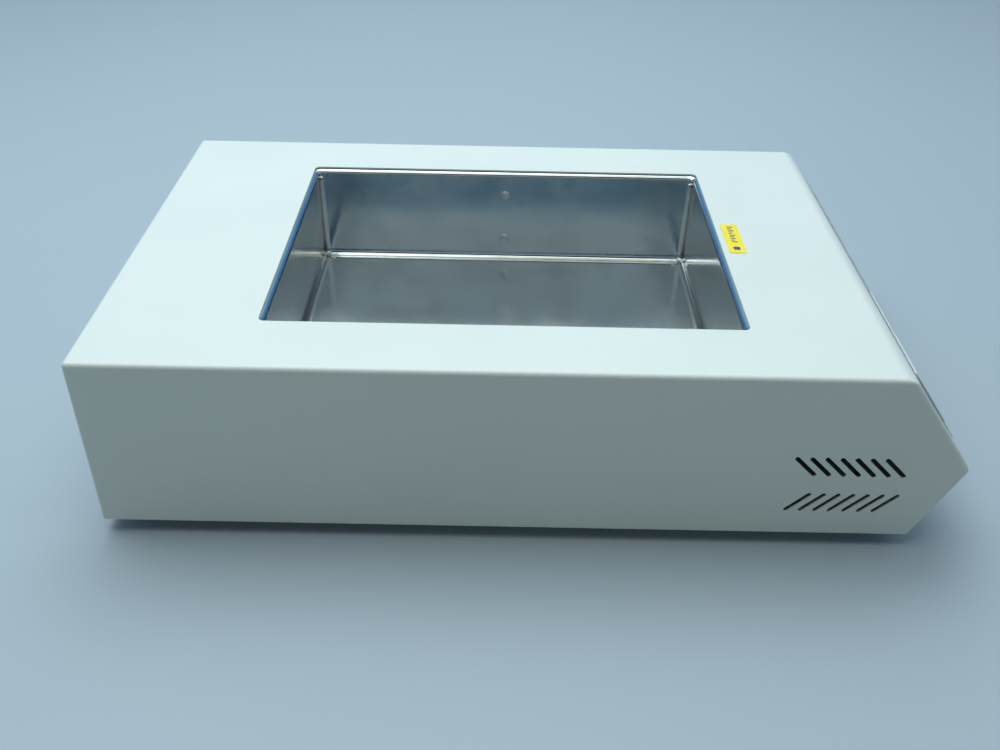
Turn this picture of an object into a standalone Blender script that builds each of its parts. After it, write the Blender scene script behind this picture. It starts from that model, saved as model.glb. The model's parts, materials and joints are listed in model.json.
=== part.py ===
"""A shallow laboratory water bath, as an assembly of separate pieces.

Run with: blender --background --python part.py

Metres, +Z up. +X points to the control panel at the front, and Y runs across the bath. The origin is
on the bench, under the middle of the whole bath. A name that ends in _AT is a distance from the rear
face of the housing.
"""

import math

import bmesh
import bpy
from mathutils import Matrix, Vector

# ---------------------------------------------------------------------------- driving dimensions

BODY_LENGTH = 0.537  # rear face to the nose
REAR_FITTINGS = 0.0052  # how far the fittings on the rear face stand out
BODY_WIDTH = 0.330
SIDE_HEIGHT = 0.120  # lower edge of a side panel to the deck
DECK_LENGTH = 0.489  # rear face to the top of the sloping control face
SILL_LENGTH = 0.511  # rear face to the foot of the undercut
NOSE_HEIGHT = 0.055  # lower edge of a side panel to the nose
STAND_HEIGHT = 0.010  # bench to the lower edge of a side panel

SHEET = 0.0012  # painted steel sheet
EDGE_BEND = 0.003  # outside radius where the side panels meet the rear, deck and slope
BROW_BEND = 0.006  # outside radius between the deck and the slope
HEM_BEND = 0.002  # outside radius along the lower edges
HEM_WIDTH = 0.012  # flanges turned in along the lower edges
HEM_STOP_AT = 0.498  # where those flanges end, behind the undercut

GAP = 0.0003  # between pieces that touch
FREE = 0.0005  # around pieces that move or drop through a hole

OPENING_AT = 0.253  # rear face to the middle of the opening
OPENING_LENGTH = 0.301
OPENING_WIDTH = 0.229
OPENING_CORNER = 0.004

TANK_SHEET = 0.001
TANK_DEPTH = 0.074  # rim to floor
TANK_STEP = 0.003  # edge of the opening to the tank wall
TANK_RIM_BEND = 0.004
TANK_FLOOR_BEND = 0.0042
TANK_CORNER = 0.0046
TANK_FLANGE = 0.024  # how far the flange reaches out from the tank wall
WELD_MARK_RADIUS = 0.0034
WELD_MARK_HEIGHT = 0.0004

VENT_LENGTH = 0.0203
VENT_WIDTH = 0.0030
VENT_PITCH = 0.00912
VENT_COUNT = 7
VENT_AT = 0.4372  # rear face to the middle of the first slot
VENT_ROWS = (0.0263, 0.0548)  # heights of the two rows above the side panel's lower edge

LABEL_MARGIN = 0.010  # edge of the opening to the middle of the label
LABEL_SIDE = 0.0055
LABEL_SIZE = (0.012, 0.043, 0.0002)

FASCIA_WIDTH = 0.296
FASCIA_HEIGHT = 0.058
FASCIA_THICKNESS = 0.0004
FASCIA_CORNER = 0.004
FRAME_WIDTH = 0.098
FRAME_HEIGHT = 0.046
FRAME_RISE = 0.0006  # fascia to the front of the frame round the window
WINDOW_WIDTH = 0.082
WINDOW_HEIGHT = 0.030
KEY_SIDE = 0.013
KEY_RISE = 0.0001  # fascia to the top of a key
LAMP_RADIUS = 0.0022

# places on the control face: to the user's right, and up the slope, from its middle
WINDOW_PLACE = (-0.089, 0.0)
LAMP_PLACES = ((-0.022, 0.008), (-0.022, -0.008))
KEY_PLACES = ((0.010, 0), (0.042, 0), (0.074, 0), (0.106, 0))
KEY_NAMES = ("key_standby", "key_set", "key_down", "key_up")
LAMP_NAMES = ("lamp_heat", "lamp_limit")

REAR_HEIGHT = 0.066  # bench to the middle of the rear fittings
SWITCH_SIDE = -0.040  # middle of the bath to the middle of the switch
ROCKER_WIDTH = 0.0165
ROCKER_HEIGHT = 0.0235
ROCKER_TILT = math.radians(8)
BEZEL_HEIGHT = 0.0016
LIMITER_SIDE = 0.085
LIMITER_BODY = (0.032, 0.032, 0.024)
RESET_RADIUS = 0.004
RESET_TRAVEL = 0.0012
COLLAR_RADIUS = 0.0065
COLLAR_HEIGHT = 0.0012

FOOT_AT = (0.045, 0.470)
FOOT_SIDE = 0.130  # middle of the bath to the middle of a foot
FOOT_RADIUS = 0.011
FOOT_TAPER = 0.0015
HEM_SCREW_AT = (0.022, 0.478)
HEM_SCREW_INSET = 0.007

STUD_RADIUS = 0.002
STUD_LENGTH = 0.008
NUT_FLATS = 0.007
NUT_HEIGHT = 0.0032
FLANGE_STUD_OUT = 0.016  # tank wall to a flange stud
SENSOR_STUD_HEIGHTS = (0.0716, 0.110)  # above the bench
SENSOR_STUD_LENGTH = 0.013

INSULATION = 0.020
HEATER_INSET = 0.022  # tank wall to the edge of the heater
HEATER_THICKNESS = 0.0016
PROBE_RADIUS = 0.003
PROBE_LENGTH = 0.060

BOARD_THICKNESS = 0.0016
POWER_BOARD_AT = (0.432, 0.500)
POWER_BOARD_SIDES = (-0.085, 0.100)
STANDOFF_HEIGHT = 0.008
STANDOFF_RADIUS = 0.003

INLET_SIDE = -0.095  # middle of the bath to the middle of the inlet
INLET_FLANGE = (0.050, 0.036, 0.0025)  # width, height, thickness
INLET_BODY = (0.0285, 0.0325, 0.028)  # width, height, depth behind the panel
SOCKET_SIZE = (0.0245, 0.0165, 0.016)  # width, height, depth of the well for the plug
SOCKET_CHAMFER = 0.004
SOCKET_LIFT = 0.0065  # the well's middle above the inlet's middle
PIN_SIZE = (0.002, 0.004)
PIN_SPACING = 0.007
PIN_SETBACK = 0.0055  # mouth of the well to the tips of the pins
INLET_SCREW_SPACING = 0.040
DRAWER_SIZE = (0.0225, 0.0075, 0.022)
DRAWER_DROP = 0.0105  # the drawer's middle below the inlet's middle

# ---------------------------------------------------------------------------- what follows from them

DECK_Z = STAND_HEIGHT + SIDE_HEIGHT
HALF_WIDTH = BODY_WIDTH / 2
FRONT_X = (BODY_LENGTH + REAR_FITTINGS) / 2
REAR_X = FRONT_X - BODY_LENGTH
PLATE_TOP = STAND_HEIGHT - GAP
PLATE_BOTTOM = PLATE_TOP - SHEET

TANK_RIM_Z = DECK_Z - SHEET - GAP
TANK_FLOOR_Z = TANK_RIM_Z - TANK_DEPTH
TANK_UNDER_Z = TANK_FLOOR_Z - TANK_SHEET
TANK_LENGTH = OPENING_LENGTH - 2 * TANK_STEP
TANK_WIDTH = OPENING_WIDTH - 2 * TANK_STEP
TANK_X = REAR_X + OPENING_AT
TANK_OUTER_Y = TANK_WIDTH / 2 + TANK_SHEET

HEATER_LENGTH = TANK_LENGTH - 2 * HEATER_INSET
HEATER_WIDTH = TANK_WIDTH - 2 * HEATER_INSET
HEATER_TOP = TANK_UNDER_Z - GAP
HEATER_BOTTOM = HEATER_TOP - HEATER_THICKNESS
PROBE_Y = TANK_OUTER_Y + GAP + PROBE_RADIUS
CLAMP_Y = PROBE_Y + PROBE_RADIUS + GAP
CLAMP_THICKNESS = 0.0015
PROBE_DROP = 0.007  # probe and bulb lie this far above and below the middle of the clamp
BOARD_Z = PLATE_TOP + GAP + STANDOFF_HEIGHT + GAP


def rear(at):
    """World X of a distance from the rear face."""
    return REAR_X + at


# ---------------------------------------------------------------------------- materials

FINISHES = {
    # name: colour, roughness, metallic
    "ivory_powder_coat": ((0.74, 0.76, 0.71), 0.45, 0.0),
    "dull_zinc": ((0.52, 0.53, 0.54), 0.4, 1.0),
    "tank_stainless": ((0.58, 0.58, 0.57), 0.18, 1.0),
    "black_rubber": ((0.02, 0.02, 0.02), 0.8, 0.0),
    "clear_silicone": ((0.72, 0.72, 0.70), 0.5, 0.0),
    "orange_silicone": ((0.65, 0.22, 0.06), 0.6, 0.0),
    "glass_wool": ((0.80, 0.70, 0.40), 0.95, 0.0),
    "grey_fascia": ((0.42, 0.45, 0.44), 0.5, 0.0),
    "silver_trim": ((0.62, 0.64, 0.66), 0.25, 1.0),
    "red_window": ((0.10, 0.01, 0.01), 0.15, 0.0),
    "key_grey": ((0.60, 0.62, 0.62), 0.5, 0.0),
    "amber_lens": ((0.80, 0.35, 0.03), 0.25, 0.0),
    "black_plastic": ((0.03, 0.03, 0.03), 0.45, 0.0),
    "reset_red": ((0.60, 0.03, 0.02), 0.4, 0.0),
    "label_yellow": ((0.90, 0.72, 0.02), 0.5, 0.0),
    "board_green": ((0.02, 0.16, 0.06), 0.5, 0.0),
    "relay_blue": ((0.05, 0.15, 0.45), 0.5, 0.0),
    "wire_sheath": ((0.70, 0.70, 0.66), 0.6, 0.0),
    "copper": ((0.72, 0.36, 0.20), 0.35, 1.0),
}


def finish_named(name):
    """The material of that name, made the first time it is asked for."""
    made = bpy.data.materials.get(name)
    if made:
        return made
    colour, roughness, metallic = FINISHES[name]
    made = bpy.data.materials.new(name)
    made.use_nodes = True
    shader = made.node_tree.nodes["Principled BSDF"]
    shader.inputs["Base Color"].default_value = (*colour, 1.0)
    shader.inputs["Roughness"].default_value = roughness
    shader.inputs["Metallic"].default_value = metallic
    return made


# ---------------------------------------------------------------------------- outlines

def circle(radius, steps=12):
    """A circle about the origin, as (x, y) points, anticlockwise."""
    turns = [2 * math.pi * i / steps for i in range(steps)]
    return [(radius * math.cos(a), radius * math.sin(a)) for a in turns]


def hexagon(flats):
    return circle(flats / math.sqrt(3), 6)


def rounded_rectangle(length, width, corner, steps=4):
    """A rectangle about the origin with its corners rounded by arcs, anticlockwise."""
    points = []
    centres = ((1, 1), (-1, 1), (-1, -1), (1, -1))
    for quarter, (sx, sy) in enumerate(centres):
        cx, cy = sx * (length / 2 - corner), sy * (width / 2 - corner)
        for i in range(steps + 1):
            a = math.pi / 2 * (quarter + i / steps)
            points.append((cx + corner * math.cos(a), cy + corner * math.sin(a)))
    return points


def slot_outline(length, width, angle, steps=5):
    """A slot with round ends about the origin, turned by an angle."""
    half, radius = (length - width) / 2, width / 2
    points = []
    for end in (0, 1):
        for i in range(steps + 1):
            a = math.pi * (end + i / steps) - math.pi / 2
            x = half * (1 - 2 * end) + radius * math.cos(a)
            y = radius * math.sin(a)
            points.append((x, y))
    c, s = math.cos(angle), math.sin(angle)
    return [(x * c - y * s, x * s + y * c) for x, y in points]


def chamfered_socket(width, height, chamfer):
    """A plug well's outline: a rectangle with its two lower corners cut off."""
    w, h = width / 2, height / 2
    return [(-w, h), (-w, -h + chamfer), (-w + chamfer, -h), (w - chamfer, -h), (w, -h + chamfer), (w, h)]


def moved(outline, x, y):
    return [(px + x, py + y) for px, py in outline]


def line_crossing(p, d, q, e):
    """Where the line through p along d crosses the line through q along e."""
    share = ((q[0] - p[0]) * e[1] - (q[1] - p[1]) * e[0]) / (d[0] * e[1] - d[1] * e[0])
    return (p[0] + share * d[0], p[1] + share * d[1])


def inset_outline(points, insets):
    """A clockwise outline with each side moved in by its own distance. Side i runs from point i to the next."""
    sides = []
    for i, inset in enumerate(insets):
        (x0, y0), (x1, y1) = points[i], points[(i + 1) % len(points)]
        length = math.hypot(x1 - x0, y1 - y0)
        dx, dy = (x1 - x0) / length, (y1 - y0) / length
        sides.append(((x0 + dy * inset, y0 - dx * inset), (dx, dy)))
    return [line_crossing(*sides[i - 1], *sides[i]) for i in range(len(sides))]


def sheet_outline(path, thickness):
    """The closed outline of a folded sheet: the path, and back along its left side one thickness away."""
    sides = []
    for (x0, y0), (x1, y1) in zip(path, path[1:]):
        length = math.hypot(x1 - x0, y1 - y0)
        dx, dy = (x1 - x0) / length, (y1 - y0) / length
        sides.append(((x0 - dy * thickness, y0 + dx * thickness), (dx, dy)))
    (sx, sy), (ex, ey) = sides[0][0], sides[-1][1]
    last = path[-1]
    end = (last[0] - ey * thickness, last[1] + ex * thickness)
    inner = [line_crossing(*a, *b) for a, b in zip(sides, sides[1:])]
    return [*path, end, *reversed(inner), (sx, sy)]


# ---------------------------------------------------------------------------- solids

def make_object(name, shape, finish, parent=None):
    """Puts a bmesh in the scene as an object with its finish."""
    bmesh.ops.recalc_face_normals(shape, faces=shape.faces)
    mesh = bpy.data.meshes.new(name)
    shape.to_mesh(mesh)
    shape.free()
    mesh.materials.append(finish_named(finish))
    mesh.shade_smooth()
    mesh.set_sharp_from_angle(angle=math.radians(35))
    made = bpy.data.objects.new(name, mesh)
    bpy.context.scene.collection.objects.link(made)
    made.parent = parent
    return made


def loft(name, rings, finish, parent=None, closed=False):
    """Skins rings of (x, y, z) points in order. The ends are capped, or joined to each other if closed."""
    shape = bmesh.new()
    rows = [[shape.verts.new(p) for p in ring] for ring in rings]
    pairs = list(zip(rows, rows[1:]))
    if closed:
        pairs.append((rows[-1], rows[0]))
    else:
        shape.faces.new(rows[0])
        shape.faces.new(rows[-1])
    for low, high in pairs:
        for i in range(len(low)):
            j = (i + 1) % len(low)
            shape.faces.new((low[i], low[j], high[j], high[i]))
    return make_object(name, shape, finish, parent)


def level(outline, z):
    return [(x, y, z) for x, y in outline]


def upright(outline, y):
    """An (x, z) outline, standing at y."""
    return [(x, y, z) for x, z in outline]


def facing_back(outline, x):
    """A (y, z) outline, standing at x."""
    return [(x, y, z) for y, z in outline]


def prism(name, outline, low, high, finish, parent=None, stand=level):
    """An outline drawn out from low to high, along the axis that stand leaves free."""
    return loft(name, [stand(outline, low), stand(outline, high)], finish, parent)


def turned(name, profile, finish, parent=None, steps=12):
    """A round solid about Z from (radius, z) points, from one end to the other."""
    return loft(name, [level(circle(r, steps), z) for r, z in profile], finish, parent)


def block(name, low, high, finish, parent=None):
    """A box from its lowest to its highest corner."""
    outline = [(low[0], low[1]), (high[0], low[1]), (high[0], high[1]), (low[0], high[1])]
    return prism(name, outline, low[2], high[2], finish, parent)


def several(name, rings_of_each, finish):
    """One helper mesh of several separate lofts, for one Boolean."""
    shape = bmesh.new()
    for rings in rings_of_each:
        rows = [[shape.verts.new(p) for p in ring] for ring in rings]
        shape.faces.new(rows[0])
        shape.faces.new(rows[-1])
        for low, high in zip(rows, rows[1:]):
            for i in range(len(low)):
                j = (i + 1) % len(low)
                shape.faces.new((low[i], low[j], high[j], high[i]))
    return make_object(name, shape, finish)


def pegs(name, radius, places, low, high, stand=level):
    """One helper mesh of round pegs at several places, for one Boolean."""
    outlines = [moved(circle(radius), *place) for place in places]
    return several(name, [[stand(o, low), stand(o, high)] for o in outlines], "dull_zinc")


def helper(obj):
    """Marks a cutter or a shape that is joined to another, so that it isn't a piece itself."""
    obj.hide_render = True
    obj.display_type = "WIRE"
    return obj


def boolean(target, other, operation):
    change = target.modifiers.new(other.name, "BOOLEAN")
    change.operation = operation
    change.object = helper(other)
    change.solver = "EXACT"


def cut(target, *cutters):
    for cutter in cutters:
        boolean(target, cutter, "DIFFERENCE")


def join(target, *others):
    for other in others:
        boolean(target, other, "UNION")


def smooth_route(points, spacing):
    """Points spaced evenly along a smooth curve through the route's own points."""
    route = [Vector(p) for p in points]
    padded = [2 * route[0] - route[1], *route, 2 * route[-1] - route[-2]]
    fine = []
    for a, b, c, d in zip(padded, padded[1:], padded[2:], padded[3:]):
        for i in range(24):
            t = i / 24
            fine.append(
                0.5 * (2 * b + t * (c - a + t * (2 * a - 5 * b + 4 * c - d + t * (3 * b - a - 3 * c + d))))
            )
    fine.append(route[-1])
    run = [0.0]
    for p, q in zip(fine, fine[1:]):
        run.append(run[-1] + (q - p).length)
    count = max(2, round(run[-1] / spacing))
    found, at = [], 0
    for i in range(count + 1):
        want = run[-1] * i / count
        while at < len(run) - 2 and run[at + 1] < want:
            at += 1
        share = (want - run[at]) / (run[at + 1] - run[at])
        found.append(fine[at].lerp(fine[at + 1], share))
    return found


def wire(name, points, radius, finish, spacing):
    """A round wire of that radius along a smooth route."""
    curve = bpy.data.curves.new(name, "CURVE")
    curve.dimensions = "3D"
    curve.bevel_depth = radius
    curve.bevel_resolution = 2
    curve.use_fill_caps = True
    route = smooth_route(points, spacing)
    spline = curve.splines.new("POLY")
    spline.points.add(len(route) - 1)
    for point, place in zip(spline.points, route):
        point.co = (*place, 1.0)
    curve.materials.append(finish_named(finish))
    made = bpy.data.objects.new(name, curve)
    bpy.context.scene.collection.objects.link(made)
    return made


# ---------------------------------------------------------------------------- housing

SIDE_OUTLINE = (  # the side panel from the lower rear corner, clockwise, as (x, z)
    (rear(0), STAND_HEIGHT),
    (rear(0), DECK_Z),
    (rear(DECK_LENGTH), DECK_Z),
    (rear(BODY_LENGTH), STAND_HEIGHT + NOSE_HEIGHT),
    (rear(SILL_LENGTH), STAND_HEIGHT),
)


def folded_block(name, outline, half_width, side_bends, corner_bends, finish):
    """A side outline drawn out across the bath, with its own bend radius on every edge.

    side_bends are the edges round each side panel, and corner_bends the edges that run across the
    bath at each point of the outline.
    """
    shape = bmesh.new()
    rows = [[shape.verts.new((x, y, z)) for x, z in outline] for y in (-half_width, half_width)]
    shape.faces.new(rows[0])
    shape.faces.new(rows[1])
    widest = max(*side_bends, *corner_bends)
    weight = shape.edges.layers.float.new("bevel_weight_edge")
    for i in range(len(outline)):
        j = (i + 1) % len(outline)
        shape.faces.new((rows[0][i], rows[0][j], rows[1][j], rows[1][i]))
        for row in rows:
            shape.edges.get((row[i], row[j]))[weight] = side_bends[i] / widest
        shape.edges.get((rows[0][i], rows[1][i]))[weight] = corner_bends[i] / widest
    made = make_object(name, shape, finish)
    bevel = made.modifiers.new("bends", "BEVEL")
    bevel.limit_method = "WEIGHT"
    bevel.width = widest
    bevel.segments = 3
    return made


def vent_cutter():
    """Two rows of slanting slots, right across the bath, that make chevrons pointing to the front."""
    rings = []
    for height, angle in zip(VENT_ROWS, (math.pi / 4, -math.pi / 4)):
        for i in range(VENT_COUNT):
            x = rear(VENT_AT + i * VENT_PITCH)
            outline = moved(slot_outline(VENT_LENGTH, VENT_WIDTH, angle), x, STAND_HEIGHT + height)
            rings.append([upright(outline, y) for y in (-HALF_WIDTH - SHEET, HALF_WIDTH + SHEET)])
    return several("vent_cutter", rings, "ivory_powder_coat")


def flange_stud_places():
    """Where the deck's studs pass through the tank flange: three along each side."""
    half = TANK_WIDTH / 2 + FLANGE_STUD_OUT
    along = (TANK_LENGTH / 2 - 0.020, 0.0, 0.020 - TANK_LENGTH / 2)
    return [(TANK_X + x, side * half) for side in (-1, 1) for x in along[::2]]


def hem_screw_places():
    y = HALF_WIDTH - HEM_SCREW_INSET
    return [(rear(at), side * y) for at in HEM_SCREW_AT for side in (-1, 1)]


def key_hole():
    return rounded_rectangle(KEY_SIDE + 2 * FREE, KEY_SIDE + 2 * FREE, 0.0015, 2)


def control_holes(width, height):
    """Outlines of what is cut for the controls, with a hole of that size for the window or its frame."""
    holes = [moved(rounded_rectangle(width, height, 0.001, 2), *WINDOW_PLACE)]
    holes += [moved(key_hole(), *place) for place in KEY_PLACES]
    holes += [moved(circle(LAMP_RADIUS + GAP), *place) for place in LAMP_PLACES]
    return holes


def face_cutter(name, outlines, face):
    """Cuts those outlines through the sheet that a face lies on."""
    cutter = several(name, [[level(o, -2 * SHEET), level(o, 3 * SHEET)] for o in outlines], "ivory_powder_coat")
    cutter.parent = face
    return cutter


def cover_housing(front, rear_face):
    """The painted case: deck, sides, rear wall and slope in one folded and welded sheet."""
    wrap = (EDGE_BEND, EDGE_BEND, EDGE_BEND, 0, HEM_BEND)
    corners = (HEM_BEND, EDGE_BEND, BROW_BEND, 0, 0)
    case = folded_block("cover_housing", SIDE_OUTLINE, HALF_WIDTH, wrap, corners, "ivory_powder_coat")

    # Behind the undercut the hollow drops through the bottom, so that the hems end there.
    inner = inset_outline(SIDE_OUTLINE, (SHEET, SHEET, SHEET, -3 * SHEET, SHEET))
    beyond, below = inner[4][0] + SHEET, STAND_HEIGHT - SHEET
    inner = [*inner[:4], (beyond, below), (rear(HEM_STOP_AT), below), (rear(HEM_STOP_AT), inner[0][1])]
    inside_bend, inside_brow = EDGE_BEND - SHEET, BROW_BEND - SHEET
    hollow = folded_block(
        "hollow_cutter",
        inner,
        HALF_WIDTH - SHEET,
        (inside_bend, inside_bend, inside_bend, 0, 0, 0, 0),
        (0, inside_bend, inside_brow, 0, 0, 0, 0),
        "ivory_powder_coat",
    )
    under = block(
        "hem_cutter",
        (rear(HEM_WIDTH), -HALF_WIDTH + HEM_WIDTH, STAND_HEIGHT - SHEET),
        (rear(HEM_STOP_AT) + SHEET, HALF_WIDTH - HEM_WIDTH, STAND_HEIGHT + 2 * SHEET),
        "ivory_powder_coat",
    )
    opening = moved(rounded_rectangle(OPENING_LENGTH, OPENING_WIDTH, OPENING_CORNER), TANK_X, 0)
    deck_hole = prism("opening_cutter", opening, DECK_Z - 2 * SHEET, DECK_Z + SHEET, "ivory_powder_coat")
    stud_ends = (DECK_Z - SHEET / 2, DECK_Z - SHEET - STUD_LENGTH)
    studs = pegs("flange_studs", STUD_RADIUS, flange_stud_places(), *stud_ends)
    hem = (STAND_HEIGHT - SHEET, STAND_HEIGHT + 2 * SHEET)
    screw_holes = pegs("hem_screw_holes", 0.0019, hem_screw_places(), *hem)
    rear_holes = [
        moved(rounded_rectangle(SWITCH_NECK[0] + 2 * GAP, SWITCH_NECK[1] + 2 * GAP, 0.001, 2), -SWITCH_SIDE, 0),
        moved(circle(COLLAR_RADIUS - 0.002 + GAP, 24), -LIMITER_SIDE, 0),
    ]
    cut(case, hollow, under, deck_hole, vent_cutter(), screw_holes, *inlet_cutters())
    ledge = 0.002  # what carries the window
    holes = control_holes(WINDOW_WIDTH - 2 * ledge, WINDOW_HEIGHT - 2 * ledge)
    cut(case, face_cutter("control_cutter", holes, front))
    cut(case, face_cutter("rear_cutter", rear_holes, rear_face))
    join(case, studs)
    return case


def base_pan():
    """The plate under the bath, whose front folds up inside the undercut and hooks behind the slope."""
    recess = SHEET
    outer = inset_outline(SIDE_OUTLINE, (SHEET, SHEET, SHEET + GAP, recess, PLATE_BOTTOM - STAND_HEIGHT))
    nose, foot = outer[3], outer[4]
    up_slope = Vector((DECK_LENGTH - BODY_LENGTH, SIDE_HEIGHT - NOSE_HEIGHT)).normalized()
    lip = Vector(nose) + 0.012 * up_slope
    path = [(rear(0.004), PLATE_BOTTOM), foot, nose, tuple(lip)]
    half = HALF_WIDTH - EDGE_BEND
    pan = prism("base_pan", sheet_outline(path, SHEET), -half, half, "ivory_powder_coat", stand=upright)
    through = (PLATE_BOTTOM - SHEET, PLATE_TOP + SHEET)
    cut(pan, pegs("pan_screw_holes", 0.0019, hem_screw_places(), *through))
    cut(pan, pegs("pan_foot_holes", STUD_RADIUS + GAP, foot_places(), *through))


def pan_head_screw(name, place, head_z, shank_top, radius, head_radius, head_height, parent=None):
    """A screw driven upwards: its head's upper face is at head_z, and its shank ends at shank_top."""
    x, y = place
    profile = [
        (head_radius * 0.75, head_z - head_height),
        (head_radius, head_z - head_height * 0.6),
        (head_radius, head_z),
        (radius, head_z),
        (radius, shank_top),
    ]
    rings = [level(moved(circle(r), x, y), z) for r, z in profile]
    made = loft(name, rings, "dull_zinc", parent)
    return made


def hem_screws():
    for i, place in enumerate(hem_screw_places(), 1):
        pan_head_screw(
            f"base_screw_{i}", place, PLATE_BOTTOM - GAP, STAND_HEIGHT + 0.004, 0.0016, 0.0032, 0.0022
        )


def foot_places():
    return [(rear(at), side * FOOT_SIDE) for at in FOOT_AT for side in (-1, 1)]


def feet():
    """Four rubber feet, each hollowed from below for its screw."""
    top = PLATE_BOTTOM - GAP
    recess, floor = 0.0052, 0.0035
    for i, (x, y) in enumerate(foot_places(), 1):
        profile = [
            (STUD_RADIUS + GAP, top),
            (FOOT_RADIUS, top),
            (FOOT_RADIUS, top - 0.0015),
            (FOOT_RADIUS - FOOT_TAPER, 0.001),
            (FOOT_RADIUS - FOOT_TAPER - 0.001, 0),
            (recess, 0),
            (recess, floor),
            (STUD_RADIUS + GAP, floor),
        ]
        rings = [level(moved(circle(r, 20), x, y), z) for r, z in profile]
        loft(f"foot_{i}", rings, "black_rubber", closed=True)
        pan_head_screw(f"foot_screw_{i}", (x, y), floor - GAP, PLATE_TOP + 0.006, STUD_RADIUS, 0.004, 0.0022)


# ---------------------------------------------------------------------------- tank

def sensor_stud_places():
    """Where studs are welded to the tank's outside wall, as (x, z)."""
    return [(TANK_X, height) for height in SENSOR_STUD_HEIGHTS]


def tank_ring(out, z, steps=4):
    """A ring of the tank at a distance out from its inner wall."""
    outline = rounded_rectangle(
        TANK_LENGTH + 2 * out, TANK_WIDTH + 2 * out, max(TANK_CORNER + out, 0.0005), steps
    )
    return level(moved(outline, TANK_X, 0), z)


def tank():
    """The stainless tub: floor, walls and rolled rim from inside, then the same sheet from below."""
    turns = [math.pi / 2 * i / 3 for i in range(4)]
    foot_x, foot_z = -TANK_FLOOR_BEND, TANK_FLOOR_Z + TANK_FLOOR_BEND
    top_x, top_z = TANK_RIM_BEND, TANK_RIM_Z - TANK_RIM_BEND
    inside, outside = TANK_FLOOR_BEND, TANK_FLOOR_BEND + TANK_SHEET
    over, under = TANK_RIM_BEND, TANK_RIM_BEND - TANK_SHEET
    profile = [(foot_x + inside * math.sin(a), foot_z - inside * math.cos(a)) for a in turns]
    profile += [(top_x - over * math.cos(a), top_z + over * math.sin(a)) for a in turns]
    profile += [(TANK_FLANGE, TANK_RIM_Z), (TANK_FLANGE, TANK_RIM_Z - TANK_SHEET)]
    profile += [(top_x - under * math.cos(a), top_z + under * math.sin(a)) for a in reversed(turns)]
    profile += [(foot_x + outside * math.sin(a), foot_z - outside * math.cos(a)) for a in reversed(turns)]
    tub = loft("tank", [tank_ring(out, z) for out, z in profile], "tank_stainless")

    through = (TANK_RIM_Z + TANK_SHEET, TANK_RIM_Z - 2 * TANK_SHEET)
    cut(tub, pegs("flange_holes", STUD_RADIUS + GAP, flange_stud_places(), *through))
    places = sensor_stud_places()
    wall = TANK_WIDTH / 2
    stud_ends = (TANK_OUTER_Y - TANK_SHEET / 2, TANK_OUTER_Y + SENSOR_STUD_LENGTH)
    join(tub, pegs("sensor_studs", STUD_RADIUS, places, *stud_ends, upright))
    mark_ends = (wall - WELD_MARK_HEIGHT, wall + TANK_SHEET / 2)
    join(tub, pegs("weld_marks", WELD_MARK_RADIUS, places, *mark_ends, upright))


def tank_seal():
    """The bead of silicone between the edge of the flange and the underside of the deck."""
    top = DECK_Z - SHEET - GAP
    inner, outer, low = TANK_FLANGE + GAP, TANK_FLANGE + 0.0045, top - 0.003
    profile = [(inner, top), (outer, top), (outer - 0.001, low + 0.0008), (inner + 0.0015, low), (inner, low)]
    return loft("tank_seal", [tank_ring(out, z) for out, z in profile], "clear_silicone", closed=True)


def nut_rings(place, low, high, stand):
    outer = moved(hexagon(NUT_FLATS), *place)
    inner = moved(hexagon(2 * (STUD_RADIUS + GAP)), *place)
    return [stand(inner, low), stand(outer, low), stand(outer, high), stand(inner, high)]


def flange_nuts():
    top = TANK_RIM_Z - TANK_SHEET - GAP
    for i, place in enumerate(flange_stud_places(), 1):
        loft(f"flange_nut_{i}", nut_rings(place, top - NUT_HEIGHT, top, level), "dull_zinc", closed=True)


def sensor_clamp():
    """The bar over the two wall studs, which holds the probe and the limiter's bulb to the tank."""
    low, high = SENSOR_STUD_HEIGHTS
    middle, span = (low + high) / 2, high - low + 0.014
    outline = moved(rounded_rectangle(0.014, span, 0.003, 3), TANK_X, middle)
    bar = prism("sensor_clamp", outline, CLAMP_Y, CLAMP_Y + CLAMP_THICKNESS, "dull_zinc", stand=upright)
    places = sensor_stud_places()
    cut(bar, pegs("clamp_holes", STUD_RADIUS + GAP, places, CLAMP_Y - SHEET, CLAMP_Y + 3 * SHEET, upright))
    face = CLAMP_Y + CLAMP_THICKNESS + GAP
    for i, place in enumerate(places, 1):
        rings = nut_rings(place, face, face + NUT_HEIGHT, upright)
        loft(f"clamp_nut_{i}", rings, "dull_zinc", closed=True)
    ends = (TANK_X - PROBE_LENGTH / 2, TANK_X + PROBE_LENGTH / 2)
    probe = moved(circle(PROBE_RADIUS), PROBE_Y, middle + PROBE_DROP)
    bulb = moved(circle(PROBE_RADIUS), PROBE_Y, middle - PROBE_DROP)
    prism("temperature_probe", probe, *ends, "dull_zinc", stand=facing_back)
    prism("limit_bulb", bulb, *ends, "copper", stand=facing_back)
    return middle


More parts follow.
